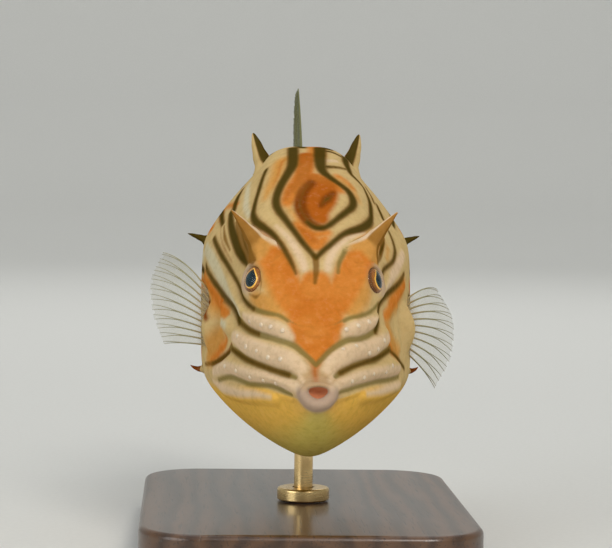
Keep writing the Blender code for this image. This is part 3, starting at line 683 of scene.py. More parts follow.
@dataclass
class EyeSeat:
    """Where an eye sits and which way it looks."""

    side: int
    centre: Array
    look: Array
    up: Array
    across: Array

    @classmethod
    def on(cls, body: Carapace, side: int) -> "EyeSeat":
        """Seats an eye on the upper side face and turns it a little forwards."""
        surface, normal, _ = body.seat(1.28, 19.0, side)
        turn = Matrix.Rotation(math.radians(-side * 8), 3, "Z")
        look = np.array(turn @ Vector(normal))
        across = unit(np.cross([0, 0, 1.0], look))
        return cls(side, surface - look * 2.9, look, np.cross(look, across), across)

    def polar(self, points: Array) -> tuple[Array, Array, Array]:
        """Distance from the line of sight, height along it, and offsets (across, up)."""
        away = points - self.centre
        high = away @ self.look
        flat = np.stack([away @ self.across, away @ self.up], axis=-1)
        return np.linalg.norm(flat, axis=-1), high, flat


@dataclass(frozen=True)
class Viewpoint:
    """The place the markings are set out from, and the camera's."""

    distance: float = 391.14
    elevation: float = 5.741
    azimuth: float = 3.311
    pitch: float = -2.7725
    heading: float = 2.9556
    roll: float = 0.8023
    focal: float = 2274.7
    width: int = 612
    height: int = 548

    def basis(self) -> tuple[Array, Array, Array, Array]:
        """Eye point, right, up and forward."""
        e, a, p, h, r = np.radians([self.elevation, self.azimuth, self.pitch, self.heading, self.roll])
        away = [-math.cos(e) * math.sin(a), -math.cos(e) * math.cos(a), math.sin(e)]
        eye = self.distance * np.array(away)
        forward = np.array([math.sin(h) * math.cos(p), math.cos(h) * math.cos(p), math.sin(p)])
        right = unit(np.cross(forward, [0, 0, 1.0]))
        up = np.cross(right, forward)
        return eye, right * math.cos(r) + up * math.sin(r), up * math.cos(r) - right * math.sin(r), forward

    def ray(self, across: float, down: float) -> tuple[Array, Array]:
        """The line of sight through a place in the picture."""
        eye, right, up, forward = self.basis()
        shift = right * (across - self.width / 2) - up * (down - self.height / 2)
        return eye, unit(forward * self.focal + shift)

    def camera(self) -> bpy.types.Object:
        """The camera at this place."""
        eye, right, up, forward = self.basis()
        data = bpy.data.cameras.new("camera")
        data.sensor_width = 36
        data.lens = self.focal / self.width * 36
        data.clip_start, data.clip_end = 0.01, 20
        made = bpy.data.objects.new("camera", data)
        bpy.context.scene.collection.objects.link(made)
        turn = Matrix([[right[i], up[i], -forward[i]] for i in range(3)])
        made.matrix_world = Matrix.Translation(Vector(world(eye))) @ turn.to_4x4()
        bpy.context.scene.camera = made
        return made


# Markings, with some painted shade laid as strokes among them


class Tone(Enum):
    """The colours that strokes are laid in. A swell only lifts the skin."""

    DARK = "dark"
    BROWN = "brown"
    OLIVE = "olive"
    RUST = "rust"
    ORANGE = "orange"
    EMBER = "ember"
    TAN = "tan"
    PALE = "pale"
    CHALK = "chalk"
    SWELL = "swell"


class Seen(Enum):
    """How a stroke's points are given."""

    FRONT = "in the picture, across and down"
    SIDE = "on the left side, by station and height"
    TOP = "from above, by x and station"


@dataclass(frozen=True)
class Stroke:
    """A line of colour on the skin, through points, with a half width at each in millimetres."""

    tone: Tone
    width: float | tuple
    points: tuple
    seen: Seen = Seen.FRONT
    both: bool = False


D, B, L, R, O = Tone.DARK, Tone.BROWN, Tone.OLIVE, Tone.RUST, Tone.ORANGE
T, P, C, W, E = Tone.TAN, Tone.PALE, Tone.CHALK, Tone.SWELL, Tone.EMBER
SIDE, TOP = Seen.SIDE, Seen.TOP

FOREHEAD = (
    Stroke(R, (1.0, 1.2, 1.2, 1.2, 1.0, 0.7),
           ((311, 183), (303, 192), (300, 204), (303, 214), (310, 223), (322, 228))),
    Stroke(D, (-0.35, -0.15, -0.1, -0.1, -0.1, -0.05, 0.2),
           ((313, 181), (305, 189), (301, 198), (300, 206), (303, 214), (308, 220), (316, 227))),
    Stroke(D, (0.3, 0.5, 0.55, 0.5, 0.5, 0.6, 0.7, 0.8, 0.65, 0.6, 0.6, 0.65, 0.85, 1.1, 1.2),
           ((307, 222), (314, 227), (321, 228), (328, 226), (336, 220), (345, 213), (352, 207), (353, 200),
            (349, 192), (342, 186), (335, 181), (328, 176), (322, 170), (320, 160), (320, 148))),
    Stroke(D, (1.0, 1.0, 0.95, 0.85, 0.8, 0.75, 0.7, 0.65, 0.55, 0.5, 0.47, 0.47, 0.42, 0.4),
           ((293, 148), (293, 158), (292, 166), (287, 175), (281, 185), (277, 195), (276, 203), (279, 211),
            (285, 219), (291, 227), (297, 235), (303, 243), (309, 250), (315, 257))),
    Stroke(D, (0.8, 0.8, 0.7, 0.5, 0.42, 0.38, 0.42, 0.5, 0.58,
               0.62, 0.8, 0.88, 0.72, 0.52, 0.44, 0.44, 0.44, 0.4),
           ((345, 158), (346, 163), (348, 168), (351, 174), (357, 180), (363, 187), (367, 195), (370, 203),
            (371, 212), (371, 219), (367, 225), (360, 229), (352, 231), (344, 234), (337, 239), (330, 245),
            (323, 251), (316, 258))),
    Stroke(D, (0.45, 0.5, 0.5, 0.5, 0.55, 0.65, 0.72, 0.78, 0.65, 0.48, 0.42, 0.36, 0.3, 0.05),
           ((266, 170), (262, 180), (259, 190), (256, 200), (254, 208), (253, 215),
            (256, 222), (263, 228), (270, 233), (277, 240), (283, 248), (288, 256), (292, 264), (296, 274))),
    Stroke(L, (0.3, 0.38, 0.4, 0.4, 0.38, 0.36, 0.34, 0.2),
           ((381, 233), (372, 238), (362, 241), (353, 245), (346, 250), (342, 257), (339, 264), (338, 273))),
    Stroke(B, (0.5, 0.55, 0.5, 0.25), ((315, 256), (316, 264), (316, 272), (315, 283))),
    Stroke(D, (0.5, 0.35, 0.2), ((322, 167), (333, 167), (345, 169))),
    Stroke(P, 0.5, ((328, 161), (336, 161))),
    Stroke(D, 0.5, ((322, 151), (331, 152), (340, 156))),
    Stroke(R, (0.5, 1.0, 0.6), ((321, 206), (327, 199), (333, 193))),
    Stroke(D, (-0.5, -0.05, 0.15, -0.05, -0.4),
           ((321, 206), (324, 202), (327, 199), (330, 197), (333, 194))),
    Stroke(E, (2.4, 2.8, 2.6, 1.5), ((311, 181), (313, 195), (316, 208), (321, 219))),
    Stroke(E, (1.8, 2.2, 1.9, 1.3), ((322, 182), (327, 190), (327, 200), (323, 211))),
    Stroke(O, (1.4, 1.6, 1.8, 1.9, 1.9, 1.4),
           ((307, 142), (306, 158), (304, 172), (299, 182), (293, 191), (288, 201))),
    Stroke(E, (1.6, 1.6, 1.3, 1.1, 0.9, 0.3),
           ((307, 140), (307, 156), (304, 172), (298, 182), (291, 190), (286, 199))),
    Stroke(O, (1.2, 1.5, 1.5, 0.9), ((311, 176), (320, 179), (332, 184), (340, 190))),
    Stroke(O, (0.0, 0.6, 1.0, 0.9), ((296, 214), (303, 224), (313, 234), (327, 233))),
    Stroke(B, (-0.05, 0.0, -0.2), ((307, 144), (307, 156), (305, 167))),
    Stroke(O, (0.7, 1.2, 1.6, 1.4, 0.8), ((297, 224), (304, 232), (311, 239), (317, 245), (325, 238))),
    Stroke(E, (0.1, 0.4, 0.5, 0.1), ((300, 228), (307, 234), (314, 240), (318, 243))),
    Stroke(T, (0.5, 0.6), ((288, 206), (300, 224))),
    Stroke(T, (1.4, 1.5, 1.4, 1.2, 0.6), ((281, 148), (280, 163), (276, 176), (270, 187), (265, 198))),
    Stroke(E, (-0.1, 0.1, 0.0, -0.3), ((283, 148), (282, 162), (278, 175), (272, 188))),
    Stroke(T, (0.8, 0.9, 0.7, 0.3), ((337, 178), (346, 184), (354, 192), (359, 202))),
    Stroke(E, (0.2, 0.5, 0.3), ((331, 178), (322, 186), (314, 192))),
    Stroke(O, 0.4, ((338, 176), (346, 181), (353, 188))),
    Stroke(P, (0.3, 0.5, 0.75, 0.8, 0.8, 0.6),
           ((276, 226), (285, 234), (293, 244), (299, 254), (303, 264), (304, 271))),
    Stroke(P, (0.4, 0.6, 0.7, 0.8, 0.8, 0.6),
           ((362, 234), (350, 238), (340, 244), (333, 252), (329, 262), (328, 271))),
    Stroke(P, (0.3, 0.36, 0.4, 0.3), ((252, 226), (262, 233), (272, 240), (281, 248))),
    Stroke(D, (0.3, 0.5, 0.45), ((377, 205), (380, 212), (383, 219))),
    Stroke(D, 0.2, ((366, 188), (371, 196), (374, 203))),
    Stroke(C, (0.6, 0.8, 0.8, 0.6), ((249, 184), (247, 195), (246, 206), (249, 216))),
    Stroke(D, (0.3, 0.7, 0.75, 0.6), ((243, 189), (239, 195), (236, 202), (234, 211))),
    Stroke(O, 0.6, ((231, 200), (226, 208), (221, 219))),
)
FACE = (
    Stroke(T, (1.6, 2.4, 2.6, 2.6, 2.6), ((256, 232), (263, 246), (270, 262), (276, 280), (282, 298))),
    Stroke(T, (1.6, 2.4, 2.6, 2.6, 2.4), ((380, 236), (370, 250), (361, 266), (355, 284), (347, 300))),
    Stroke(T, (1.3, 1.9, 2.2, 2.0), ((254, 297), (262, 302), (273, 306), (286, 311))),
    Stroke(T, (1.5, 2.1, 2.0), ((366, 276), (363, 293), (352, 308))),
    Stroke(T, (1.2, 1.0), ((258, 262), (262, 282))),
    Stroke(O, (1.2, 2.0, 2.4, 2.5, 2.7, 2.8, 2.6),
           ((263, 236), (270, 247), (276, 258), (281, 269), (285, 281), (290, 293), (297, 304))),
    Stroke(O, (1.2, 2.0, 2.4, 2.6, 2.7, 2.6, 2.4),
           ((374, 240), (365, 249), (357, 260), (351, 271), (347, 282), (342, 293), (336, 304))),
    Stroke(O, (3.0, 4.2, 4.9, 4.9, 4.2, 2.4, 0.6),
           ((316, 286), (316, 296), (316, 307), (316, 320), (316, 334), (316, 348), (316, 364))),
    Stroke(E, (0.45, 0.4, 0.3), ((316, 364), (315, 372), (316, 381))),
    Stroke(P, (0.3, 0.5, 0.4), ((301, 367), (300, 374), (303, 382))),
    Stroke(P, (0.3, 0.5, 0.4), ((331, 367), (333, 374), (330, 382))),
    # painted shade: the faint ember bar below the eyes and the rust bar lower down are soft shadows across
    # the face, laid in as colour
    Stroke(E, (-0.3, -0.1, -0.1, -0.3), ((296, 299), (306, 300), (318, 300), (334, 298))),
    Stroke(R, (-0.4, -0.3, -0.2, -0.3, -0.4),
           ((293, 323), (303, 326), (316, 328), (330, 325), (338, 321))),
    Stroke(L, (0.1, -0.05, -0.3), ((289, 321), (295, 324), (302, 327))),
    Stroke(L, (-0.3, -0.05, 0.1), ((330, 327), (336, 324), (342, 321))),
    Stroke(R, (-0.3, -0.1, -0.3), ((353, 266), (358, 267), (363, 269))),
    Stroke(E, (-0.2, 0.1, -0.2), ((304, 335), (316, 337), (328, 335))),
    Stroke(D, (0.4, 0.44, 0.46, 0.42, 0.38, 0.36, 0.36, 0.4, 0.38, 0.28),
           ((214, 238), (218, 248), (222, 256), (227, 264), (233, 274), (238, 283), (241, 290), (244, 298),
            (248, 304), (254, 309))),
    Stroke(L, (0.4, 0.38, 0.34, 0.32, 0.26),
           ((254, 309), (262, 312), (272, 314), (280, 316), (288, 321))),
    Stroke(L, 0.32, ((378, 304), (370, 312), (360, 316), (350, 318), (344, 321))),
    Stroke(D, (0.32, 0.36, 0.4, 0.42, 0.42, 0.45, 0.5),
           ((206, 265), (211, 275), (217, 284), (225, 295), (232, 304), (237, 313), (240, 322))),
    Stroke(L, (0.62, 0.62, 0.55, 0.5, 0.48, 0.48, 0.48, 0.44, 0.42, 0.42),
           ((239, 320), (248, 329), (258, 334), (268, 337), (278, 340), (288, 343), (296, 347), (303, 353),
            (310, 359), (316, 365))),
    Stroke(D, 0.2, ((241, 323), (250, 330), (259, 334))),
    Stroke(L, (0.5, 0.5, 0.48, 0.48, 0.48, 0.45, 0.42, 0.42),
           ((376, 330), (367, 336), (358, 339), (348, 340), (340, 344), (331, 350), (323, 358), (316, 365))),
    Stroke(D, (0.3, 0.36, 0.42, 0.42, 0.38, 0.38, 0.42, 0.45),
           ((404, 274), (398, 283), (391, 290), (385, 296), (380, 303), (378, 312), (378, 322), (375, 331))),
    Stroke(L, (0.55, 0.62, 0.62, 0.55, 0.52, 0.52, 0.55, 0.3),
           ((231, 348), (238, 353), (246, 359), (255, 363), (265, 367), (275, 371), (285, 374), (296, 378))),
    Stroke(D, (0.2, 0.32, 0.28, 0.2, 0.2, 0.28),
           ((232, 349), (240, 355), (250, 361), (262, 366), (276, 371), (289, 375))),
    Stroke(L, (0.6, 0.65, 0.58, 0.52, 0.52, 0.52, 0.5, 0.3),
           ((390, 349), (383, 354), (375, 360), (366, 362), (358, 364), (350, 368), (342, 372), (335, 377))),
    Stroke(D, (0.25, 0.34, 0.24, 0.2, 0.26),
           ((389, 350), (379, 357), (366, 362), (352, 367), (340, 373))),
    Stroke(L, (0.36, 0.44, 0.4, 0.4, 0.38, 0.36, 0.34, 0.25),
           ((219, 380), (230, 377), (240, 380), (250, 384), (261, 385), (272, 386), (282, 390), (292, 395))),
    Stroke(L, (0.36, 0.4, 0.38, 0.36, 0.34, 0.25),
           ((398, 377), (387, 380), (375, 382), (360, 386), (347, 390), (338, 394))),
    # A dark patch below the left horn. The first dark line is its own marking; the brown fill and the thin
    # dark line along the horn's lower edge are painted shadow of the horn.
    Stroke(D, (0.6, 0.8, 0.95, 0.95, 0.8, 0.4),
           ((231, 212), (231, 224), (234, 237), (238, 249), (243, 258), (247, 264))),
    Stroke(B, (0.7, 1.2, 1.4, 1.1, 0.6), ((238, 220), (241, 233), (245, 246), (249, 256), (255, 262))),
    Stroke(D, (-0.1, 0.1, -0.1), ((241, 231), (245, 244), (249, 255))),
    # painted shade: a faint brown arc over and before the left eye, shadow cast by the horn above it
    Stroke(B, (0.0, 0.1, 0.1, 0.0), ((251, 266), (259, 270), (262, 281), (260, 290))),
    Stroke(B, (0.0, 0.3, 0.0), ((250, 294), (256, 297), (261, 293))),
    Stroke(R, (-0.2, 0.0, 0.1, -0.1), ((222, 222), (221, 236), (225, 249), (232, 262))),
    Stroke(B, (0.2, 0.4, 0.2), ((224, 226), (225, 238), (230, 250))),
    Stroke(B, (0.4, 0.7, 0.6, 0.35), ((384, 238), (382, 247), (380, 256), (377, 263))),
    Stroke(D, (0.15, 0.35, 0.2), ((384, 242), (382, 248), (380, 254))),
    Stroke(T, 0.45, ((388, 248), (387, 258))),
    Stroke(D, (0.3, 0.35, 0.36, 0.36, 0.32, 0.32, 0.25),
           ((389, 232), (393, 242), (395, 252), (393, 261), (388, 266), (383, 271), (381, 281))),
    Stroke(B, (0.3, 0.45, 0.4), ((205, 364), (214, 363), (224, 358))),
    Stroke(D, (0.2, 0.36, 0.3), ((212, 364), (222, 359), (230, 352))),
    Stroke(D, (0.2, 0.34, 0.3), ((390, 351), (397, 358), (404, 368))),
    Stroke(P, (0.9, 1.5, 1.6, 1.4, 0.7), ((247, 318), (258, 324), (270, 329), (282, 334), (291, 339))),
    Stroke(P, (1.0, 1.6, 1.4, 0.8), ((374, 322), (364, 327), (354, 331), (345, 335))),
    Stroke(P, (1.2, 1.8, 1.9, 1.9, 1.7, 1.0),
           ((238, 338), (250, 347), (264, 353), (279, 358), (292, 363), (303, 371))),
    Stroke(P, (1.2, 1.8, 1.9, 1.8, 1.6, 1.0),
           ((384, 340), (372, 348), (359, 352), (345, 357), (334, 363), (327, 371))),
    Stroke(P, (1.0, 1.4, 1.4, 1.3, 1.3, 1.2, 0.9),
           ((214, 371), (226, 368), (240, 372), (256, 376), (272, 379), (288, 384), (299, 388))),
    Stroke(P, (1.0, 1.4, 1.4, 1.3, 1.2, 0.9),
           ((396, 371), (384, 373), (370, 376), (356, 379), (344, 384), (334, 389))),
    Stroke(P, (0.5, 0.8, 0.8, 0.6, 0.3), ((213, 381), (226, 387), (241, 391), (258, 393), (274, 396))),
    Stroke(P, (0.5, 0.7, 0.4), ((397, 383), (382, 389), (364, 393))),
    Stroke(C, (1.2, 1.4, 1.4, 1.3, 1.2, 1.1, 0.9),
           ((206, 248), (211, 258), (216, 268), (222, 280), (229, 292), (235, 302), (241, 314))),
    Stroke(P, (1.0, 1.2, 1.1, 0.9, 0.5), ((403, 254), (398, 266), (391, 277), (385, 287), (381, 297))),
    Stroke(T, (1.2, 1.8, 2.0, 2.0, 1.4), ((205, 276), (209, 286), (215, 297), (221, 307), (228, 315))),
    Stroke(O, (0.7, 1.2, 1.4, 1.4, 0.9), ((207, 275), (211, 285), (217, 295), (224, 304), (230, 313))),
    Stroke(R, (0.5, 0.9, 0.6), ((207, 294), (211, 307), (215, 319))),
    Stroke(T, (1.2, 1.8, 1.8, 1.4), ((404, 283), (398, 294), (391, 305), (387, 317))),
    Stroke(O, (0.9, 1.3, 1.3, 0.9), ((402, 284), (396, 294), (389, 304), (385, 316))),
    Stroke(C, 0.7, ((226, 323), (231, 326))),
    Stroke(T, (1.8, 2.7, 2.7, 1.8), ((224, 331), (220, 340), (215, 349), (209, 357))),
    Stroke(O, (0.5, 0.9, 0.9, 0.5), ((228, 336), (225, 345), (219, 353), (211, 360))),
    # painted shadow: a rust line along the lobe's inner side, where the cheek bulges over it
    Stroke(R, (0.2, 0.5, 0.5, 0.3), ((234, 334), (232, 344), (227, 354), (218, 360))),
    Stroke(T, (1.6, 2.4, 2.0), ((388, 328), (391, 341), (396, 352))),
    Stroke(O, (0.8, 1.0, 0.7), ((386, 332), (388, 342), (392, 351))),
    Stroke(W, (0.6, 0.9, 1.1, 1.0), ((207, 276), (213, 287), (220, 298), (228, 309))),
    Stroke(W, (0.6, 1.0, 1.0), ((402, 286), (394, 298), (387, 311))),
    Stroke(W, 0.4, ((228, 324), (231, 326))),
    Stroke(W, (0.5, 0.7, 0.4), ((256, 228), (267, 237), (279, 247))),
    Stroke(W, (0.5, 0.7, 0.4), ((377, 231), (367, 237), (355, 243))),
)
SIDES = (
    Stroke(D, (0.45, 0.6, 0.5, 0.6, 0.5, 0.4),
           ((53, 23.6), (60, 22.2), (67, 21.8), (75, 18.6), (84, 17.6), (97, 17.4)),
           SIDE, True),
    Stroke(D, (0.45, 0.6, 0.5, 0.65, 0.5, 0.4),
           ((43, 18.6), (50, 18.8), (58, 16.6), (66, 17.0), (76, 14.6), (94, 14.8)),
           SIDE, True),
    Stroke(D, (0.4, 0.6, 0.5, 0.6, 0.5, 0.4),
           ((40, 14.2), (47, 13.0), (55, 10.6), (63, 12.4), (74, 11.4), (95, 12.2)),
           SIDE, True),
    Stroke(D, (0.4, 0.6, 0.5, 0.6, 0.4),
           ((41, 5.0), (49, 6.6), (57, 5.2), (65, 8.0), (80, 9.4)), SIDE, True),
    Stroke(D, (0.4, 0.55, 0.5, 0.5, 0.4),
           ((41, 0.6), (49, 1.4), (57, 1.4), (66, 4.4), (79, 8.2)), SIDE, True),
    Stroke(L, (0.3, 0.45, 0.4, 0.3), ((39, -3.6), (49, -3.4), (59, -1.0), (71, 3.4)), SIDE, True),
    Stroke(D, (0.5, 0.6, 0.5, 0.6, 0.4),
           ((50, 34.6), (58, 33.2), (65, 29.6), (73, 25.6), (82, 20.6)), SIDE, True),
    Stroke(D, (0.5, 0.7, 0.5, 0.6, 0.4),
           ((41, 27.6), (49, 29.4), (57, 28.8), (66, 25.8), (77, 21.0)), SIDE, True),
    Stroke(D, (0.4, 0.5, 0.3), ((56, 28.8), (60, 25.6), (66, 24.0)), SIDE, True),
    Stroke(D, (0.3, 0.5, 0.3), ((54, 10.8), (57, 13.6), (60, 16.8)), SIDE, True),
    Stroke(D, (0.3, 0.45, 0.2), ((62, 12.4), (66, 10.2), (72, 9.6)), SIDE, True),
    Stroke(O, (1.2, 1.6, 1.4, 0.8), ((42, 16.2), (50, 15.6), (58, 13.8), (70, 13.6)), SIDE, True),
    Stroke(O, (0.8, 1.2, 1.0, 0.6), ((43, 3.0), (50, 3.8), (58, 3.4), (68, 6.4)), SIDE, True),
    Stroke(O, (1.0, 1.2, 1.0), ((47, 26.4), (56, 26.4), (68, 22.4)), SIDE, True),
    Stroke(O, (1.0, 1.2, 0.8), ((54, 32.0), (62, 30.0), (72, 24.6)), SIDE, True),
    Stroke(C, (1.0, 1.4, 1.0, 0.8), ((45, 21.2), (54, 20.4), (64, 19.6), (80, 16.4)), SIDE, True),
    Stroke(C, (1.6, 1.6, 1.2), ((44, 9.6), (54, 8.0), (66, 9.8)), SIDE, True),
    Stroke(D, (0.9, 0.9, 0.7, 0.5), ((-1.1, 48), (-2.0, 57), (-2.4, 66), (-2.2, 73)), TOP),
    Stroke(D, (1.0, 0.9, 0.7, 0.5), ((3.9, 48), (3.6, 57), (2.6, 66), (2.2, 73)), TOP),
    Stroke(D, (0.5, 0.7, 0.6, 0.4), ((6.9, 50), (7.4, 58), (5.8, 66), (4.0, 75)), TOP, True),
    Stroke(O, (1.6, 1.5, 1.2, 0.8, 0.6), ((1.4, 42), (1.4, 50), (0.8, 58), (0.2, 66), (0, 72)), TOP),
)
PEARLS = (
    (265, 325), (274, 327), (284, 331), (253, 321), (241, 337), (250, 347),
    (260, 351), (271, 357), (283, 360),
    (229, 366), (240, 370), (253, 376), (265, 379), (277, 382), (345, 331), (356, 327), (366, 324),
    (380, 341), (374, 349), (366, 352), (355, 348), (343, 352), (388, 365), (382, 371), (370, 373),
    (361, 376), (349, 380),
)
PEARL_RADII = (0.36, 0.5)


@dataclass
class MarkingsAndShade:
    """Strokes set on the skin, markings and some painted shade, and how far any point is inside each tone."""

    body: BVHTree
    view: Viewpoint
    spots: dict = field(default_factory=dict)

    def hit(self, seen: Seen, point: tuple) -> Vector:
        """The skin's point under a stroke's point."""
        if seen is Seen.FRONT:
            eye, way = self.view.ray(*point)
        elif seen is Seen.SIDE:
            eye, way = np.array([60.0, *point]), np.array([-1.0, 0, 0])
        else:
            eye, way = np.array([point[0], point[1], 90.0]), np.array([0, 0, -1.0])
        found = self.body.ray_cast(Vector(eye), Vector(way))[0]
        if found is None:
            eye = eye + way * max(0.0, float(np.dot(np.array([0, 40, 10]) - eye, way)))
            found = self.body.find_nearest(Vector(eye))[0]
        return found

    def lay(self, strokes: tuple) -> None:
        """Adds strokes: a smooth curve through the skin's points, a quarter millimetre a step,
        set down on the skin, and mirrored where the stroke is on both sides."""
        for stroke in strokes:
            rows = np.array([self.hit(stroke.seen, p) for p in stroke.points])
            length = np.linalg.norm(np.diff(rows, axis=0), axis=1).sum()
            steps = max(4, int(length / 0.25))
            curve = through(rows, steps)
            width = np.atleast_1d(stroke.width)
            reach = np.interp(np.linspace(0, 1, steps), np.linspace(0, 1, len(width)), width)
            curve = np.array([self.body.find_nearest(Vector(p))[0] for p in curve])
            for side in (1, -1) if stroke.both else (1,):
                rows = np.column_stack([curve * (side, 1, 1), reach])
                self.spots.setdefault(stroke.tone, []).append(rows)

    def inside(self, points: Array) -> dict:
        """How far each point is inside each tone's strokes, in millimetres, below 0 outside:
        the greatest of half width less distance over the strokes' steps."""
        flat = points.reshape(-1, 3)
        result = {}
        for tone in Tone:
            spots = np.concatenate(self.spots[tone])
            best = np.empty(len(flat))
            for start in range(0, len(flat), 4000):
                part = flat[start : start + 4000]
                square = (part**2).sum(1)[:, None] + (spots[:, :3] ** 2).sum(1) - 2 * part @ spots[:, :3].T
                best[start : start + 4000] = (spots[:, 3] - np.sqrt(np.maximum(square, 0))).max(axis=1)
            result[tone.value] = np.clip(best, -6, 6).reshape(points.shape[:-1])
        return result


# Skin


@dataclass
class Skin:
    """One skin from the throat over the lips, head, trunk and tail stalk, with lids and slits."""

    body: Carapace
    eyes: list
    head_rings: int = 118
    trunk_rings: int = 94
    stalk_rings: int = 24
    lip_rings: int = 18
    lip_half_width: float = 2.45
    upper_lip: tuple = (1.35, 0.6)
    lower_lip: tuple = (2.1, 1.4)
    throat_depth: float = 0.5

    def lips(self) -> Array:
        """Rings from the throat's end out over the lips to the head's front.

        A lip is a tube bent round the mouth: its centre runs on an ellipse, and a ring's place
        on the tube is an angle that turns from the inside over the front to the outside. From
        above to below, the ellipse's height and the tube's thickness change by the cosine.
        """
        turn = np.arange(self.body.columns) * 2 * math.pi / self.body.columns
        sine, cosine = np.sin(turn)[None, :], np.cos(turn)[None, :]
        over = np.linspace(math.pi * 0.86, math.pi * 2.1, self.lip_rings)[:, None]
        low = 0.5 - 0.5 * cosine
        height = self.upper_lip[0] + (self.lower_lip[0] - self.upper_lip[0]) * low
        thick = self.upper_lip[1] + (self.lower_lip[1] - self.upper_lip[1]) * low
        x = sine * (self.lip_half_width + thick * np.cos(over) * 0.85)
        z = cosine * (height + thick * np.cos(over) * 0.75) - 0.1
        station = 0.5 + thick * np.sin(over) * 1.1
        folds = 0.008 * (1 + np.sin(turn * 30))[None, :] * np.sin(over - math.pi) ** 2
        lips = fish(x, station + folds, z)
        depth = np.linspace(1, 0, 6)[:5][:, None]
        shrink = 0.1 + 0.9 * (1 - depth) ** 0.6
        throat = fish(x[:1] * shrink, station[:1] + depth * self.throat_depth, z[:1] * shrink)
        return np.concatenate([throat, lips])

    def tail(self) -> Array:
        """Rings from the carapace's rear edge, rolled in, out along the tail stalk."""
        edge = self.body.sections(np.array([CARAPACE_END]))[0]
        centre = edge.mean(axis=0)
        share = np.array([0.99, 0.96, 0.92, 0.86])[:, None]
        inward = centre + (edge - centre) * share[..., None]
        station = CARAPACE_END + np.array([0.0, 0.05, -0.1, -0.6])[:, None]
        rim = fish(inward[..., 0], station, inward[..., 1])
        turn = np.arange(self.body.columns) * 2 * math.pi / self.body.columns
        stations = np.concatenate([[81.2, 81.8], np.linspace(82.3, 98, self.stalk_rings)])
        half_width, half_height, middle = along(STALK_LINE, stations).T[..., None]
        x = half_width * np.sign(np.sin(turn)) * np.abs(np.sin(turn)) ** 0.85
        z = middle + half_height * np.sign(np.cos(turn)) * np.abs(np.cos(turn)) ** 0.85
        return np.concatenate([rim, fish(x, stations[:, None], z)])

    def plain(self) -> Array:
        """The skin's rings before any relief."""
        stations = np.concatenate([
            np.linspace(1.7, 32, self.head_rings, endpoint=False),
            np.linspace(32, CARAPACE_END - 0.15, self.trunk_rings),
        ])
        rings = self.body.sections(stations)
        box = fish(rings[..., 0], stations[:, None], rings[..., 1])
        lips, tail = self.lips(), self.tail()
        snout = smooth(1.7, 5.0, stations)[:, None, None]
        last = lips[-1:] * (1, 0, 1) + np.stack([0 * stations, stations, 0 * stations], -1)[:, None]
        near = box * snout + (last + (box - last) * 0.55) * (1 - snout)
        return np.concatenate([lips, near, tail])

    def plates(self, grid: Array) -> Array:
        """The plates' own pattern over the bony part of the skin, 1 in the middles, -1 at the edges."""
        station = grid[..., 1]
        arc = np.cumsum(np.linalg.norm(grid - np.roll(grid, 1, axis=1), axis=-1), axis=1)
        arc = np.minimum(arc, arc[:, -1:] - arc)
        return self.plate(arc, station) * smooth(46, 58, station) * smooth(81, 78, station)

    def reliefs(self, grid: Array, marks: dict) -> Array:
        """Heights over the plain skin: plates, cheek rolls with creases, swells, gill slit and
        fin lobes."""
        x, s, z = grid[..., 0], grid[..., 1], grid[..., 2]
        height = 0.07 * marks["plate"]
        cheek = smooth(32, 25, s) * smooth(24, 17, z)
        line = np.maximum(marks["dark"], marks["olive"])
        roll = smooth(-2.2, -0.2, np.maximum(marks["pale"], marks["chalk"]))
        pillow = 1 - (1 - np.clip(-line / 1.7, 0, 1)) ** 2
        height = height + cheek * roll * 0.85 * pillow
        height = height + 0.6 * smooth(-1.8, 0.9, marks["swell"])
        slit = np.abs(s - 29.8 + 0.03 * (z - 9) ** 2 * 0.5)
        tall = smooth(5.4, 3.6, np.abs(z - 9))
        sides = (np.abs(x) > 9).astype(float)
        height = height - 1.2 * hump(slit, 0.75) * tall * sides
        height = height + 0.45 * hump(s - 28.6, 1.6) * tall * sides
        lobe = np.sqrt(((s - 34.4) / 3.4) ** 2 + ((z - 8.8) / 5.6) ** 2)
        height = height + 2.1 * hump(lobe, 1.0) ** 0.75 * sides
        return height

    def plate(self, arc: Array, station: Array) -> Array:
        """1 in a plate's middle and -1 at its edges, for six-sided plates in a staggered grid.

        The distance to the nearest of two interleaved rectangular grids of centres is compared
        with the distance to the other, and their difference is the closeness to an edge.
        """
        wide, high = 5.6, 5.6 * math.sqrt(3)
        def nearest(shift: float) -> Array:
            """Distance to the nearest centre of one of the two grids."""
            u = (arc / wide + shift) % 1.0 - 0.5
            v = (station / high + shift) % 1.0 - 0.5
            return np.hypot(u * wide, v * high)
        first, second = nearest(0.0), nearest(0.5)
        gap = np.abs(first - second)
        return 2 * smooth(0.0, 0.9, gap) - 1

    def sockets(self, grid: Array) -> Array:
        """Pushes the skin into a lid round each eye.

        The height along the line of sight is set by the distance from it: deep under the
        eyeball, up over the lid's crest, and down to the skin's own height outside.
        """
        for eye in self.eyes:
            far, high, flat = eye.polar(grid)
            near = (high > 0) & (far < 6.5)
            crest = 3.12 + 0.03 * flat[..., 1]
            inside = 0.6 + (crest - 0.6) * smooth(1.75, 2.45, far)
            weight = np.where(far < 2.75, 1.0, 1 - smooth(2.75, 4.4, far))
            lift = (np.where(far < 2.75, inside, crest) - high) * weight * near
            grid = grid + eye.look * lift[..., None]
        return grid

    def rims(self, grid: Array) -> Array:
        """How lilac the skin is round the eyes: a ring that is strongest behind each eye."""
        result = np.zeros(grid.shape[:2])
        for eye in self.eyes:
            far, high, flat = eye.polar(grid)
            behind = smooth(-1.0, 2.0, eye.side * flat[..., 0])
            ring = smooth(3.5, 2.8, far) * (high > 0) * (0.1 + 0.7 * behind)
            result = np.maximum(result, ring)
        return result

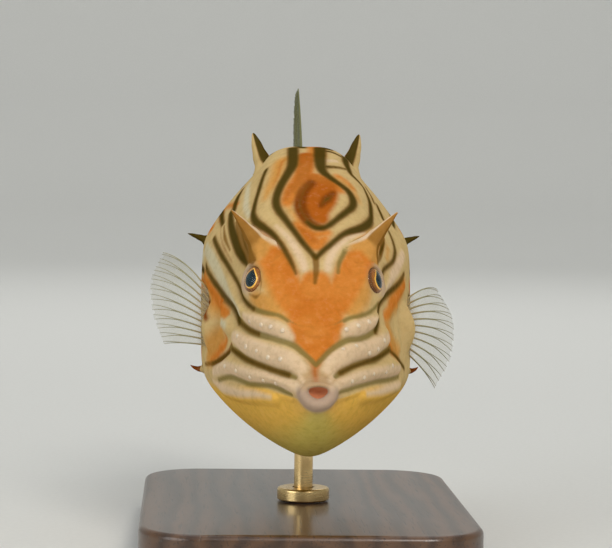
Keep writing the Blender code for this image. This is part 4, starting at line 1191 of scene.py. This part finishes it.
    def nostrils(self, grid: Array) -> Array:
        """Two pits with raised rims before each eye."""
        for side in (-1, 1):
            for station in (11.4, 13.2):
                spot, normal, _ = self.body.seat(1.42, station, side)
                far = np.linalg.norm(grid - spot, axis=-1)
                depth = 0.16 * hump(far, 0.95) - 0.7 * hump(far, 0.5)
                grid = grid + normal * depth[..., None]
        return grid

    def shape(self, plain: Array, marks: MarkingsAndShade) -> tuple[Array, dict]:
        """The skin's rings with all relief, and its markings and painted shade as numbers on the vertices.

        The belly number is the girth less the place where the belly's colour starts, which
        moves down from the lips to the cheeks' end.
        """
        numbers = marks.inside(plain)
        numbers["plate"] = self.plates(plain)
        heights = self.reliefs(plain, numbers)
        first = self.lip_rings + 5
        fade = smooth(first, first + 10, np.arange(len(plain)))[:, None]
        grid = plain + across_rings(plain) * (heights * fade)[..., None]
        grid = self.nostrils(self.sockets(grid))
        rows = np.arange(len(plain))[:, None] + 0 * plain[..., 0]
        lower = smooth(1.6, -1.2, plain[..., 2])
        mouth = smooth(first + 9, first - 4, rows)
        girth = np.broadcast_to(self.body.girth()[None, :], plain.shape[:2])
        numbers["lip"] = mouth * (0.36 + 0.64 * lower)
        numbers["muzzle"] = smooth(first + 16, first + 2, rows) * (1 - 0.7 * lower) * 0.8
        numbers["throat"] = smooth(8.0, 5.0, rows)
        numbers["girth"] = girth
        numbers["belly"] = girth - 2.62 - 0.37 * smooth(4, 26, plain[..., 1])
        numbers["rim"] = self.rims(plain)
        return grid, numbers

    def make(self, grid: Array, numbers: dict, material: bpy.types.Material) -> bpy.types.Object:
        """Builds the skin from its rings and numbers."""
        points, faces = closed_loft(grid)
        made = mesh_piece("skin", points, faces, material, ends_too(numbers))
        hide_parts("head", "lips", "trunk", "tail_stalk")
        return made


# Eyes


@dataclass
class Eye:
    """An eyeball with a clear film over it, whose pupil may look back by the gaze, in
    millimetres."""

    seat: EyeSeat
    radius: float = 3.7
    gaze: float = 0.0
    pupil_radius: float = 1.55
    point_length: float = 1.85
    rows: int = 72
    columns: int = 72

    def dome(self, radius: float, start: float, end: float, bulge: float = 0.0) -> tuple[Array, Array]:
        """Rings of a ball about the line of sight, from one angle off it to another and closer
        in the middle, and the offsets of each point. A bulge lifts the middle by a cosine."""
        angle = start + (end - start) * np.linspace(0, 1, self.rows)[:, None] ** 1.6
        turn = np.linspace(0, 2 * math.pi, self.columns, endpoint=False)[None, :]
        lift = radius + bulge * np.clip(np.cos(angle * 2.2), 0, 1) * (angle < 0.7)
        flat = np.stack([np.sin(angle) * np.sin(turn), np.sin(angle) * np.cos(turn)], -1) * lift[..., None]
        high = np.cos(angle) * lift + 0 * turn
        seat = self.seat
        beside = flat[..., :1] * seat.across + flat[..., 1:] * seat.up
        points = seat.centre + beside + high[..., None] * seat.look
        return points, flat

    def make(self, paint: bpy.types.Material, clear: bpy.types.Material) -> None:
        """Makes the ball and its film."""
        word = "left" if self.seat.side > 0 else "right"
        rings, flat = self.dome(self.radius, 0.004, math.pi - 0.004)
        across, up = flat[..., 0] - self.seat.side * self.gaze, flat[..., 1]
        point = np.clip(up / self.point_length, 0, 1.4)
        pointed = (np.abs(across) - self.pupil_radius * (1 - point**1.5)) * 0.85
        pupil = np.where(up > 0, pointed, np.hypot(across, up) - self.pupil_radius)
        behind = (rings - self.seat.centre) @ self.seat.look < 0
        pupil = np.where(behind, self.radius, pupil)
        points, faces = closed_loft(rings)
        numbers = ends_too({"pupil": pupil, "radius": np.hypot(across, up)})
        ball = mesh_piece(f"eyeball_{word}", points, faces, paint, numbers)
        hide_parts(f"eye_{word}")
        outer, _ = self.dome(self.radius + 0.07, 0.004, 1.25, 0.16)
        inner, _ = self.dome(self.radius + 0.03, 0.004, 1.25, 0.16)
        shell = np.concatenate([inner, outer[::-1]])
        points, faces = closed_loft(shell)
        film = mesh_piece(f"cornea_{word}", points, faces, clear)
        film.visible_shadow = False


# Horns and spines


@dataclass(frozen=True)
class Thorn:
    """A horn or spine: ellipses that shrink along a bent line, with a foot that flares out."""

    name: str
    ridge: tuple
    root: float
    shift: tuple
    tip: tuple
    length: float
    width: float
    taper: float
    stripes: tuple
    rings: int = 34
    sides: int = 36
    reach: float = 12.0

    def nearest(self, points: Array, skin: Array) -> Array:
        """For each point, the number of the skin's nearest one."""
        flat = points.reshape(-1, 3)
        square = (skin**2).sum(1)[None] - 2 * flat @ skin.T
        return square.argmin(axis=1).reshape(points.shape[:-1])

    def build(self, side: int, skin: Array, plain: Array, marks: MarkingsAndShade) -> tuple[Array, list, dict]:
        """Vertices, faces and numbers of the thorn on one side.

        The middle line is a parabola that leaves the ridge straight out and ends at the tip.
        The flare's outer ring lies on the skin's nearest points, and the foot takes their
        markings, read where the strokes lie, on the plain skin.
        """
        x, height = along(self.ridge, np.array([self.root]))[0]
        ends = along(TOP_LINE, [self.root])[0, 1] + along(KEEL_LINE, [self.root])[0, 1]
        out = unit(np.array([x, 0, height - ends / 2]))
        root = np.array([x - self.shift[0], self.root, height - self.shift[1]]) - out * 1.8
        tip = np.array(self.tip, float)
        knee = root + out * 0.42 * np.linalg.norm(tip - root)
        t = np.linspace(0, 1, self.rings)[:, None] ** 0.9
        line = root * (1 - t) ** 2 + knee * 2 * t * (1 - t) + tip * t * t
        ahead = unit(np.gradient(line, axis=0))
        length_way = unit(np.array([0, 1, 0]) - ahead * ahead[:, 1:2])
        width_way = np.cross(ahead, length_way)
        shrink = 0.8 * (1 - t) ** self.taper + 0.2 * (1 - t) ** 5 + 0.04
        turn = np.linspace(0, 2 * math.pi, self.sides, endpoint=False)[None, :, None]
        ripple = 1 + 0.035 * np.sin(3 * turn + 9 * t[:, None]) + 0.03 * np.sin(26 * t[:, None])
        offset = (
            length_way[:, None] * np.cos(turn) * (shrink * self.length / 2)[:, None]
            + width_way[:, None] * np.sin(turn) * (shrink * self.width / 2)[:, None]
        ) * ripple
        rings = (line[:, None] + offset) * (side, 1, 1)
        rings[..., 0] = bend(rings[..., 0], rings[..., 1])
        flare = rings[0] + offset[0] * (side, 1, 1) * 0.3
        near = ((skin - flare.mean(axis=0)) ** 2).sum(-1) < self.reach**2
        skin, plain = skin[near], plain[near]
        flare = skin[self.nearest(flare, skin)]
        blend = smooth(0.0, 0.42, t)[:, None]
        rings = flare * (1 - blend) + rings * blend
        numbers = marks.inside(plain[self.nearest(rings, skin)])
        high = smooth(0.12, 0.45, np.broadcast_to(t, rings.shape[:2]))
        own = self.pattern(np.broadcast_to(turn[..., 0], rings.shape[:2]))
        for key, value in own.items():
            numbers[key] = numbers[key] * (1 - high) + value * high
        for key in ("lip", "throat", "plate", "muzzle", "rim", "girth"):
            numbers[key] = 0 * high
        numbers["belly"] = 0 * high - 1
        points, faces = closed_loft(rings)
        return points, faces, ends_too(numbers)

    def pattern(self, turn: Array) -> dict:
        """How far each point is inside each tone's stripes: a stripe has a tone, its middle's
        angle from the rear by the upper side, half its own angle, and the most it counts."""
        result = {tone.value: np.full(turn.shape, -3.0) for tone in Tone}
        for tone, middle, half, most in self.stripes:
            apart = np.abs((turn - middle + math.pi) % (2 * math.pi) - math.pi)
            inside = np.minimum((half - apart) * self.width / 2, most)
            result[tone.value] = np.maximum(result[tone.value], inside)
        return result


# On the horns, the tan body and pale upper stripe are their own colour; the two brown stripes on the lower
# side are painted shade.
HORN_STRIPES_AND_SHADE = ((T, 0.0, 4.0, 3), (P, 1.75, 0.6, 3), (B, 3.6, 1.3, 0.02), (B, 4.6, 0.7, 3))
BACK_STRIPES = ((D, 2.6, 0.7, 3), (T, 1.3, 0.6, 3))
FLANK_STRIPES = ((D, 3.14, 2.4, 3), (L, 0.0, 4.0, 3))
BELLY_STRIPES = ((R, 0.0, 4.0, 3),)
THORNS = (
    Thorn("brow_horn", BACK_RIDGE, 21.8, (1.5, -0.3), (14.9, 19.6, 30.6), 5.0, 6.2, 0.9, HORN_STRIPES_AND_SHADE),
    Thorn("spine_back_front", BACK_RIDGE, 49.0, (2.4, 0), (10.3, 54.0, 44.9), 7.0, 5.8, 0.65, BACK_STRIPES),
    Thorn("spine_back_rear", BACK_RIDGE, 66.5, (1.4, 0), (9.6, 72.5, 36.9), 5.6, 3.8, 0.7, BACK_STRIPES),
    Thorn("spine_flank_front", FLANK_RIDGE, 53.0, (0.2, 0), (22.7, 57.0, 25.2), 4.0, 2.4, 0.8, FLANK_STRIPES),
    Thorn("spine_flank_rear", FLANK_RIDGE, 67.5, (0.2, 0), (18.0, 72.4, 22.4), 3.6, 2.2, 0.8, FLANK_STRIPES),
    Thorn("spine_belly_front", BELLY_RIDGE, 44.0, (0.2, 0), (21.9, 47.6, 0.2), 3.6, 2.2, 0.8, BELLY_STRIPES),
    Thorn("spine_belly_rear", BELLY_RIDGE, 60.5, (0.2, 0), (18.7, 65.6, 2.6), 3.8, 2.2, 0.8, BELLY_STRIPES),
)


# Fins


class FinLook(Enum):
    """The finishes a fin may have."""

    AMBER = "amber"
    OLIVE = "olive"
    CLEAR = "clear"

    def finishes(self) -> tuple[RayFinish, WebFinish]:
        """The finish of the rays and that of the membrane."""
        if self is FinLook.CLEAR:
            rays = RayFinish("clear_rays", (0.34, 0.32, 0.16), (0.40, 0.26, 0.09), 0.85)
            web = WebFinish("clear_web", (0.42, 0.38, 0.22), (0.44, 0.27, 0.09), 0.15, 0.7, 0.3)
        elif self is FinLook.OLIVE:
            rays = RayFinish("olive_rays", (0.16, 0.16, 0.05), (0.14, 0.10, 0.03), 0.95)
            web = WebFinish("olive_web", (0.14, 0.15, 0.05), (0.22, 0.13, 0.03), 0.62, 0.95, 0.5)
        else:
            rays, web = RayFinish("amber_rays"), WebFinish("amber_web")
        return rays, web


@dataclass
class RayFin:
    """A fin: branched rays, each a tapering tube, and a membrane that sags between them."""

    name: str
    roots: list
    tips: list
    bow: list
    rays: int
    hint: tuple
    look: FinLook = FinLook.AMBER
    ray_radius: float = 0.4
    foot_radius: float = 0.75
    steps: int = 40

    def lines(self, u: Array, t: Array) -> Array:
        """Points at ray number u and share t of its length: the straight line from root to tip
        plus a parabola of bow."""
        place = np.linspace(0, 1, 200)
        columns = [through(rows, 200) for rows in (self.roots, self.tips, self.bow)]
        share = u / (self.rays - 1)
        root, tip, bow = (
            np.stack([np.interp(share, place, rows[:, k]) for k in range(3)], axis=-1) for rows in columns
        )
        t = t[..., None]
        flat = root + (tip - root) * t + bow * 4 * t * (1 - t)
        return fish(flat[..., 0], flat[..., 1], flat[..., 2])

    def normal_at(self, u: Array, t: Array) -> Array:
        """The fin's face direction at u and t, by small steps each way."""
        step = 0.02
        across = self.lines(u + step, t) - self.lines(u - step, t)
        outward = self.lines(u, np.clip(t + step, 0, 1)) - self.lines(u, np.clip(t - step, 0, 1))
        normal = unit(np.cross(across, outward))
        return normal * np.sign((normal * np.array(self.hint, float)).sum(-1, keepdims=True))

    def web(self) -> tuple[Array, list, dict]:
        """The membrane: a sheet between the rays, scalloped at its edge, with two faces."""
        fine = 10
        u = np.linspace(0, self.rays - 1, (self.rays - 1) * fine + 1)[None, :]
        between = np.sin(math.pi * (u % 1.0)) ** 2
        t = np.linspace(0, 1, self.steps)[:, None] ** 1.05
        reach = t * (1 - 0.035 * between - 0.012 * np.sin(u * 2.3) ** 2)
        u, reach = np.broadcast_arrays(u, reach)
        middle = self.lines(u, reach)
        normal = self.normal_at(u, reach)
        sag = 0.16 * between * np.sin(reach * 5 + u) * smooth(0.1, 0.5, reach)
        middle = middle + normal * sag[..., None]
        half = (0.16 - 0.08 * reach)[..., None]
        front, back = middle + normal * half, middle - normal * half
        rows, columns = middle.shape[:2]
        index = np.arange(rows * columns).reshape(rows, columns)
        sheet = np.stack([index[:-1, :-1], index[:-1, 1:], index[1:, 1:], index[1:, :-1]], -1).reshape(-1, 4)
        rim = np.concatenate([index[0], index[1:, -1], index[-1, -2::-1], index[-2:0:-1, 0]])
        other = rows * columns
        wall = np.stack([rim, rim + other, np.roll(rim, -1) + other, np.roll(rim, -1)], -1)
        faces = np.concatenate([sheet, sheet[:, ::-1] + other, wall])
        points = np.concatenate([front.reshape(-1, 3), back.reshape(-1, 3)])
        corner = points[faces]
        away = (np.cross(corner[:, 1] - corner[:, 0], corner[:, 2] - corner[:, 0])
                * np.concatenate([normal.reshape(-1, 3)] * 2)[faces[:, 0]])[: len(sheet)].sum()
        faces = faces[:, ::-1] if away < 0 else faces
        return points, faces.tolist(), {"along": np.tile(reach.ravel(), 2)}

    def ray_tubes(self) -> tuple[Array, list, dict]:
        """The rays: two half rays each that part past the middle and again share no point.

        A tube's rings are ellipses about its line, in the fin's face direction and across it.
        """
        sides, steps = 8, 30
        t = np.linspace(0, 1, steps)[None, :]
        ray = np.repeat(np.arange(self.rays), 2)[:, None]
        hand = np.tile([-1, 1], self.rays)[:, None]
        inner = np.where((ray == 0) & (hand < 0) | (ray == self.rays - 1) & (hand > 0), 0.0, 1.0)
        part = 0.03 + 0.2 * smooth(0.45, 1.0, t)
        u = ray + hand * part * inner
        line = self.lines(u, t + 0 * u)
        normal = self.normal_at(u, t + 0 * u)
        ahead = unit(np.gradient(line, axis=1))
        aside = np.cross(ahead, normal)
        thicker = (self.foot_radius - self.ray_radius) * (1 - smooth(0, 0.22, t))
        radius = self.ray_radius * (1 - 0.72 * t) + thicker
        knots = 1 + 0.07 * np.sin(t * 190)
        radius = (radius * knots + 0 * u)[..., None, None]
        turn = np.linspace(0, 2 * math.pi, sides, endpoint=False)[None, None, :, None]
        rings = line[:, :, None] + radius * (
            normal[:, :, None] * np.cos(turn) * 0.9 + aside[:, :, None] * np.sin(turn) * 0.62)
        points, faces, shift = [], [], 0
        for tube in rings:
            spots, corners = closed_loft(tube)
            points.append(spots)
            faces.extend([[c + shift for c in corner] for corner in corners])
            shift += len(spots)
        shares = np.concatenate([np.append(np.repeat(t[0], sides), [0, 1])] * (2 * self.rays))
        return np.concatenate(points), faces, {"along": shares}

    def make(self, rays: bpy.types.Material, web: bpy.types.Material) -> None:
        """Makes both pieces in place of the fin's solid."""
        points, faces, numbers = self.ray_tubes()
        tubes = mesh_piece(f"{self.name}_rays", points, faces, rays, numbers)
        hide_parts(self.name)
        points, faces, numbers = self.web()
        sheet = mesh_piece(f"{self.name}_web", points, faces, web, numbers)


FINS = (
    RayFin("dorsal_fin", [(0, 69.5, 33.0), (0, 73.5, 29.5), (0, 78.0, 25.2)],
           [(-0.4, 80.5, 54.55), (-0.8, 85.0, 52.6), (-0.7, 88.6, 45.0), (-0.3, 87.6, 34.5)],
           [(0.3, 0.6, 0), (0.3, 0.8, 0), (0.2, 0.6, 0)], 10, (1, 0, 0), FinLook.OLIVE),
    RayFin("anal_fin", [(0, 71.5, 0.8), (0, 76.0, 5.0), (0, 80.0, 8.4)],
           [(1.0, 83.5, -15.0), (1.4, 88.0, -13.0), (1.2, 91.0, -6.5), (0.4, 90.0, 2.2)],
           [(-0.3, 0.6, 0), (-0.3, 0.8, 0), (-0.1, 0.5, 0)], 10, (1, 0, 0)),
    RayFin("tail_fin", [(0, 96.6, 20.0), (0, 96.6, 15.2), (0, 96.6, 10.4)],
           [(0.3, 121.5, 28.6), (0.6, 124.4, 22.6), (0.2, 125.0, 15.2), (-0.5, 124.2, 7.8),
            (-0.3, 121.0, 1.6)],
           [(0, 0, 0.9), (0, 0, 0), (0, 0, -0.9)], 11, (1, 0, 0), FinLook.AMBER, 0.45, 1.2),
    RayFin("pectoral_fin_right", [(-17.4, 37.3, 13.0), (-17.6, 36.6, 9.0), (-17.4, 35.6, 4.8)],
           [(-27.4, 42.5, 22.0), (-29.6, 46.0, 16.6), (-29.2, 47.5, 10.0), (-27.0, 46.0, 4.4)],
           [(0, 0.4, 1.8), (-0.6, 0, 1.2), (-0.8, 0, 0.4)], 11, (0, -1, 0), FinLook.CLEAR, 0.24, 0.55),
    RayFin("pectoral_fin_left", [(17.4, 37.3, 13.0), (17.6, 36.6, 9.0), (17.4, 35.6, 4.8)],
           [(25.2, 46.0, 15.4), (28.6, 48.5, 9.4), (28.4, 48.5, 2.4), (25.0, 45.5, -3.6)],
           [(0.6, 0, 1.4), (0.8, 0, 0.8), (0.6, 0, 0.2)], 11, (0, -1, 0), FinLook.CLEAR, 0.24, 0.55),
)


# Pearls, stand and studio


@dataclass
class Pearls:
    """Raised beads along the cheek bands."""

    sides: int = 18
    rings: int = 8

    def make(self, marks: MarkingsAndShade, skin: Array, material: bpy.types.Material) -> None:
        """Low domes on the skin: a quarter turn of a circle, lifted to half."""
        places = np.array([marks.hit(Seen.FRONT, place) for place in PEARLS])
        radii = np.random.default_rng(SEED).uniform(*PEARL_RADII, len(places))
        flat = skin.reshape(-1, 3)
        nearest = ((places[:, None] - flat[None]) ** 2).sum(-1).argmin(axis=1)
        up = across_rings(skin).reshape(-1, 3)[nearest]
        centre = flat[nearest]
        aside = unit(np.cross(up, [0, 0, 1.0]))
        other = np.cross(up, aside)
        rise = np.linspace(0, 0.97, self.rings)[None, :, None, None] * math.pi / 2
        turn = np.linspace(0, 2 * math.pi, self.sides, endpoint=False)[None, None, :, None]
        size = radii[:, None, None, None]
        domes = centre[:, None, None] + size * (
            np.cos(rise) * (np.cos(turn) * aside[:, None, None] + np.sin(turn) * other[:, None, None])
            + (0.6 * np.sin(rise) - 0.1) * up[:, None, None])
        points, faces, shift = [], [], 0
        for dome in domes:
            spots, corners = closed_loft(dome)
            points.append(spots)
            faces.extend([[c + shift for c in corner] for corner in corners])
            shift += len(spots)
        made = mesh_piece("cheek_pearls", np.concatenate(points), faces, material)


@dataclass
class Stand:
    """A walnut base with eased edges, and a brass rod in a turned collar."""

    length: float = 88.0
    width: float = 62.0
    corner: float = 12.0
    edge: float = 1.2
    rod_radius: float = 1.8
    rod_station: float = 46.0
    collar_radius: float = 5.0
    collar_height: float = 2.4
    collar_edge: float = 0.55
    gap: float = 0.3

    def base(self, material: bpy.types.Material) -> None:
        """Round-cornered rings, from the underside's middle out, up and in again.

        Each ring is the plan's outline drawn in by the edge's quarter circle.
        """
        quarter = np.linspace(0, math.pi / 2, 12)
        rise = BASE_HEIGHT - self.edge + self.edge * np.sin(quarter)
        middle = self.width / 2 - 1.0
        inset = np.array([middle, 0.4, 0.0, *(self.edge * (1 - np.cos(quarter))), middle])
        height = np.array([0.0, 0.0, 0.4, *rise, BASE_HEIGHT])
        turn = np.linspace(0, 2 * math.pi, 160, endpoint=False)
        centre_x, centre_y = self.width / 2 - self.corner, self.length / 2 - self.corner
        corner = np.maximum(self.corner - inset, 0.6)[:, None]
        reach_x = np.maximum(centre_x - np.maximum(inset - self.corner + 0.6, 0), 0.3)[:, None]
        reach_y = np.maximum(centre_y - np.maximum(inset - self.corner + 0.6, 0), 0.3)[:, None]
        x = np.sign(np.sin(turn)) * reach_x + corner * np.sin(turn)
        y = np.sign(np.cos(turn)) * reach_y + corner * np.cos(turn)
        rings = np.stack([x, y, height[:, None] + 0 * x], axis=-1) * MM
        points, faces = closed_loft(rings)
        made = mesh_piece("walnut_base", points, faces, material, metres=True)
        made.data.set_sharp_from_angle(angle=math.radians(40))
        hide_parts("stand_base")

    def turned(self, name: str, profile: Array, material: bpy.types.Material, node: str,
               closed: bool) -> None:
        """A piece turned about the rod's axis from a profile of radius and height."""
        turn = np.linspace(0, 2 * math.pi, 96, endpoint=False)[None, :]
        radius, height = profile[:, :1], profile[:, 1:]
        middle = SNOUT_Y + self.rod_station
        deep = middle + radius * np.cos(turn)
        rings = np.stack([radius * np.sin(turn), deep, height + 0 * turn], -1) * MM
        if closed:
            rows, columns = rings.shape[:2]
            index = np.arange(rows * columns).reshape(rows, columns)
            below, ahead = np.roll(index, -1, axis=0), np.roll(index, -1, axis=1)
            faces = np.stack([index, ahead, np.roll(below, -1, axis=1), below], -1).reshape(-1, 4).tolist()
            points = rings.reshape(-1, 3)
        else:
            points, faces = closed_loft(rings)
        made = mesh_piece(name, points, faces, material, metres=True)
        made.data.set_sharp_from_angle(angle=math.radians(40))
        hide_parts(node)

    def make(self, wood: bpy.types.Material, brass: bpy.types.Material) -> None:
        """Makes base, collar and rod."""
        self.base(wood)
        foot = BASE_HEIGHT + self.gap
        top = MOUTH_HEIGHT - KEEL_DEPTH + 1.2
        rod = np.array([(self.rod_radius, foot), (self.rod_radius, foot + 1), (self.rod_radius, top)])
        self.turned("brass_rod", rod, brass, "stand_rod", False)
        bore, outer, lip = self.rod_radius + self.gap, self.collar_radius, self.collar_edge
        head = foot + self.collar_height
        curve = np.linspace(0, math.pi / 2, 8)
        edge = np.stack([outer - lip + lip * np.cos(curve), head - lip + lip * np.sin(curve)], -1)
        lower = [(bore, foot), (outer - 0.2, foot), (outer, foot + 0.2)]
        collar = np.concatenate([lower, edge, [(bore, head)]])
        self.turned("brass_collar", collar, brass, "stand_collar", True)


@dataclass
class Studio:
    """A pale card bowl, four soft lamps and the camera."""

    def make(self, view: Viewpoint) -> None:
        """Sets the stage and the light."""
        radius = np.array([0.001, 0.6, 1.2, 1.5, 1.72, 1.85, 1.9, 1.9, 1.9])
        height = np.array([0.0, 0.0, 0.0, 0.03, 0.13, 0.32, 0.6, 1.2, 2.4])
        turn = np.linspace(0, 2 * math.pi, 96, endpoint=False)[None, :]
        x, y = radius[:, None] * np.sin(turn), radius[:, None] * np.cos(turn)
        rings = np.stack([x, y, height[:, None] + 0 * turn], -1)
        mesh = bpy.data.meshes.new("floor")
        faces = ring_faces(*rings.shape[:2]).tolist() + [list(range(96))]
        mesh.from_pydata(rings.reshape(-1, 3).tolist(), [], faces)
        mesh.shade_smooth()
        mesh.materials.append(FloorFinish().make())
        floor = bpy.data.objects.new("floor", mesh)
        bpy.context.scene.collection.objects.link(floor)
        world_light = bpy.data.worlds.new("studio")
        world_light.use_nodes = True
        shade = world_light.node_tree.nodes["Background"]
        shade.inputs["Color"].default_value = (0.95, 0.97, 1.0, 1)
        shade.inputs["Strength"].default_value = 0.6
        bpy.context.scene.world = world_light
        self.lamp("key", (0.24, -0.6, 0.55), 0.3, 3.4, (1.0, 0.97, 0.92))
        self.lamp("fill", (-0.62, -0.42, 0.3), 0.5, 2.0, (0.95, 0.98, 1.0))
        self.lamp("back", (0.1, 0.7, 0.62), 0.5, 0.7, (1.0, 1.0, 1.0))
        self.lamp("wall", (0.0, 0.4, 1.1), 0.6, 5.0, (1.0, 1.0, 1.0), (0.0, 1.9, 0.3))
        view.camera()
        bpy.context.scene.view_settings.view_transform = "Standard"

    def lamp(self, name: str, spot: tuple, size: float, power: float, colour: tuple,
             aim: tuple = (0, 0, 0.045)) -> None:
        """A square soft lamp turned to its aim, which is the fish unless told."""
        data = bpy.data.lights.new(name, "AREA")
        data.size, data.energy, data.color = size, power, colour
        made = bpy.data.objects.new(name, data)
        made.location = spot
        made.rotation_euler = (Vector(aim) - Vector(spot)).to_track_quat("-Z", "Y").to_euler()
        bpy.context.scene.collection.objects.link(made)


def main() -> None:
    """Builds the pieces in order and reports each."""
    logging.basicConfig(level=logging.INFO, format="%(message)s")
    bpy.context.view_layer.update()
    view = Viewpoint()
    body = Carapace()
    eyes = [EyeSeat.on(body, side) for side in (-1, 1)]
    skin = Skin(body, eyes)
    plain = skin.plain()
    rows, columns = plain.shape[:2]
    tree = BVHTree.FromPolygons(plain.reshape(-1, 3).tolist(), ring_faces(rows, columns).tolist())
    marks = MarkingsAndShade(tree, view)
    marks.lay(FOREHEAD + FACE + SIDES)
    log.info("markings laid: %d tones", len(marks.spots))
    hide = SkinFinish().make()
    grid, numbers = skin.shape(plain, marks)
    made = skin.make(grid, numbers, hide)
    log.info("skin: %d faces", len(made.data.polygons))
    first = skin.lip_rings + 5
    Pearls().make(marks, grid[first:], PearlFinish().make())
    outside, under = grid[first:].reshape(-1, 3), plain[first:].reshape(-1, 3)
    for thorn in THORNS:
        for side, word in ((-1, "right"), (1, "left")):
            points, faces, numbers = thorn.build(side, outside, under, marks)
            piece = mesh_piece(f"{thorn.name}_{word}", points, faces, hide, numbers)
            if thorn.name == "brow_horn":
                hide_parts(f"horn_{word}")
    log.info("horns and spines: %d pairs", len(THORNS))
    iris, film = EyeFinish().make(), CorneaFinish().make()
    for seat, gaze in zip(eyes, (0.0, 0.75)):
        Eye(seat, gaze=gaze).make(iris, film)
    log.info("eyes set")
    looks = {look: [finish.make() for finish in look.finishes()] for look in FinLook}
    for fin in FINS:
        fin.make(*looks[fin.look])
        log.info("%s: %d rays", fin.name, fin.rays)
    Stand().make(WoodFinish().make(), BrassFinish().make())
    log.info("stand set")
    Studio().make(view)


if __name__ == "__main__":
    main()
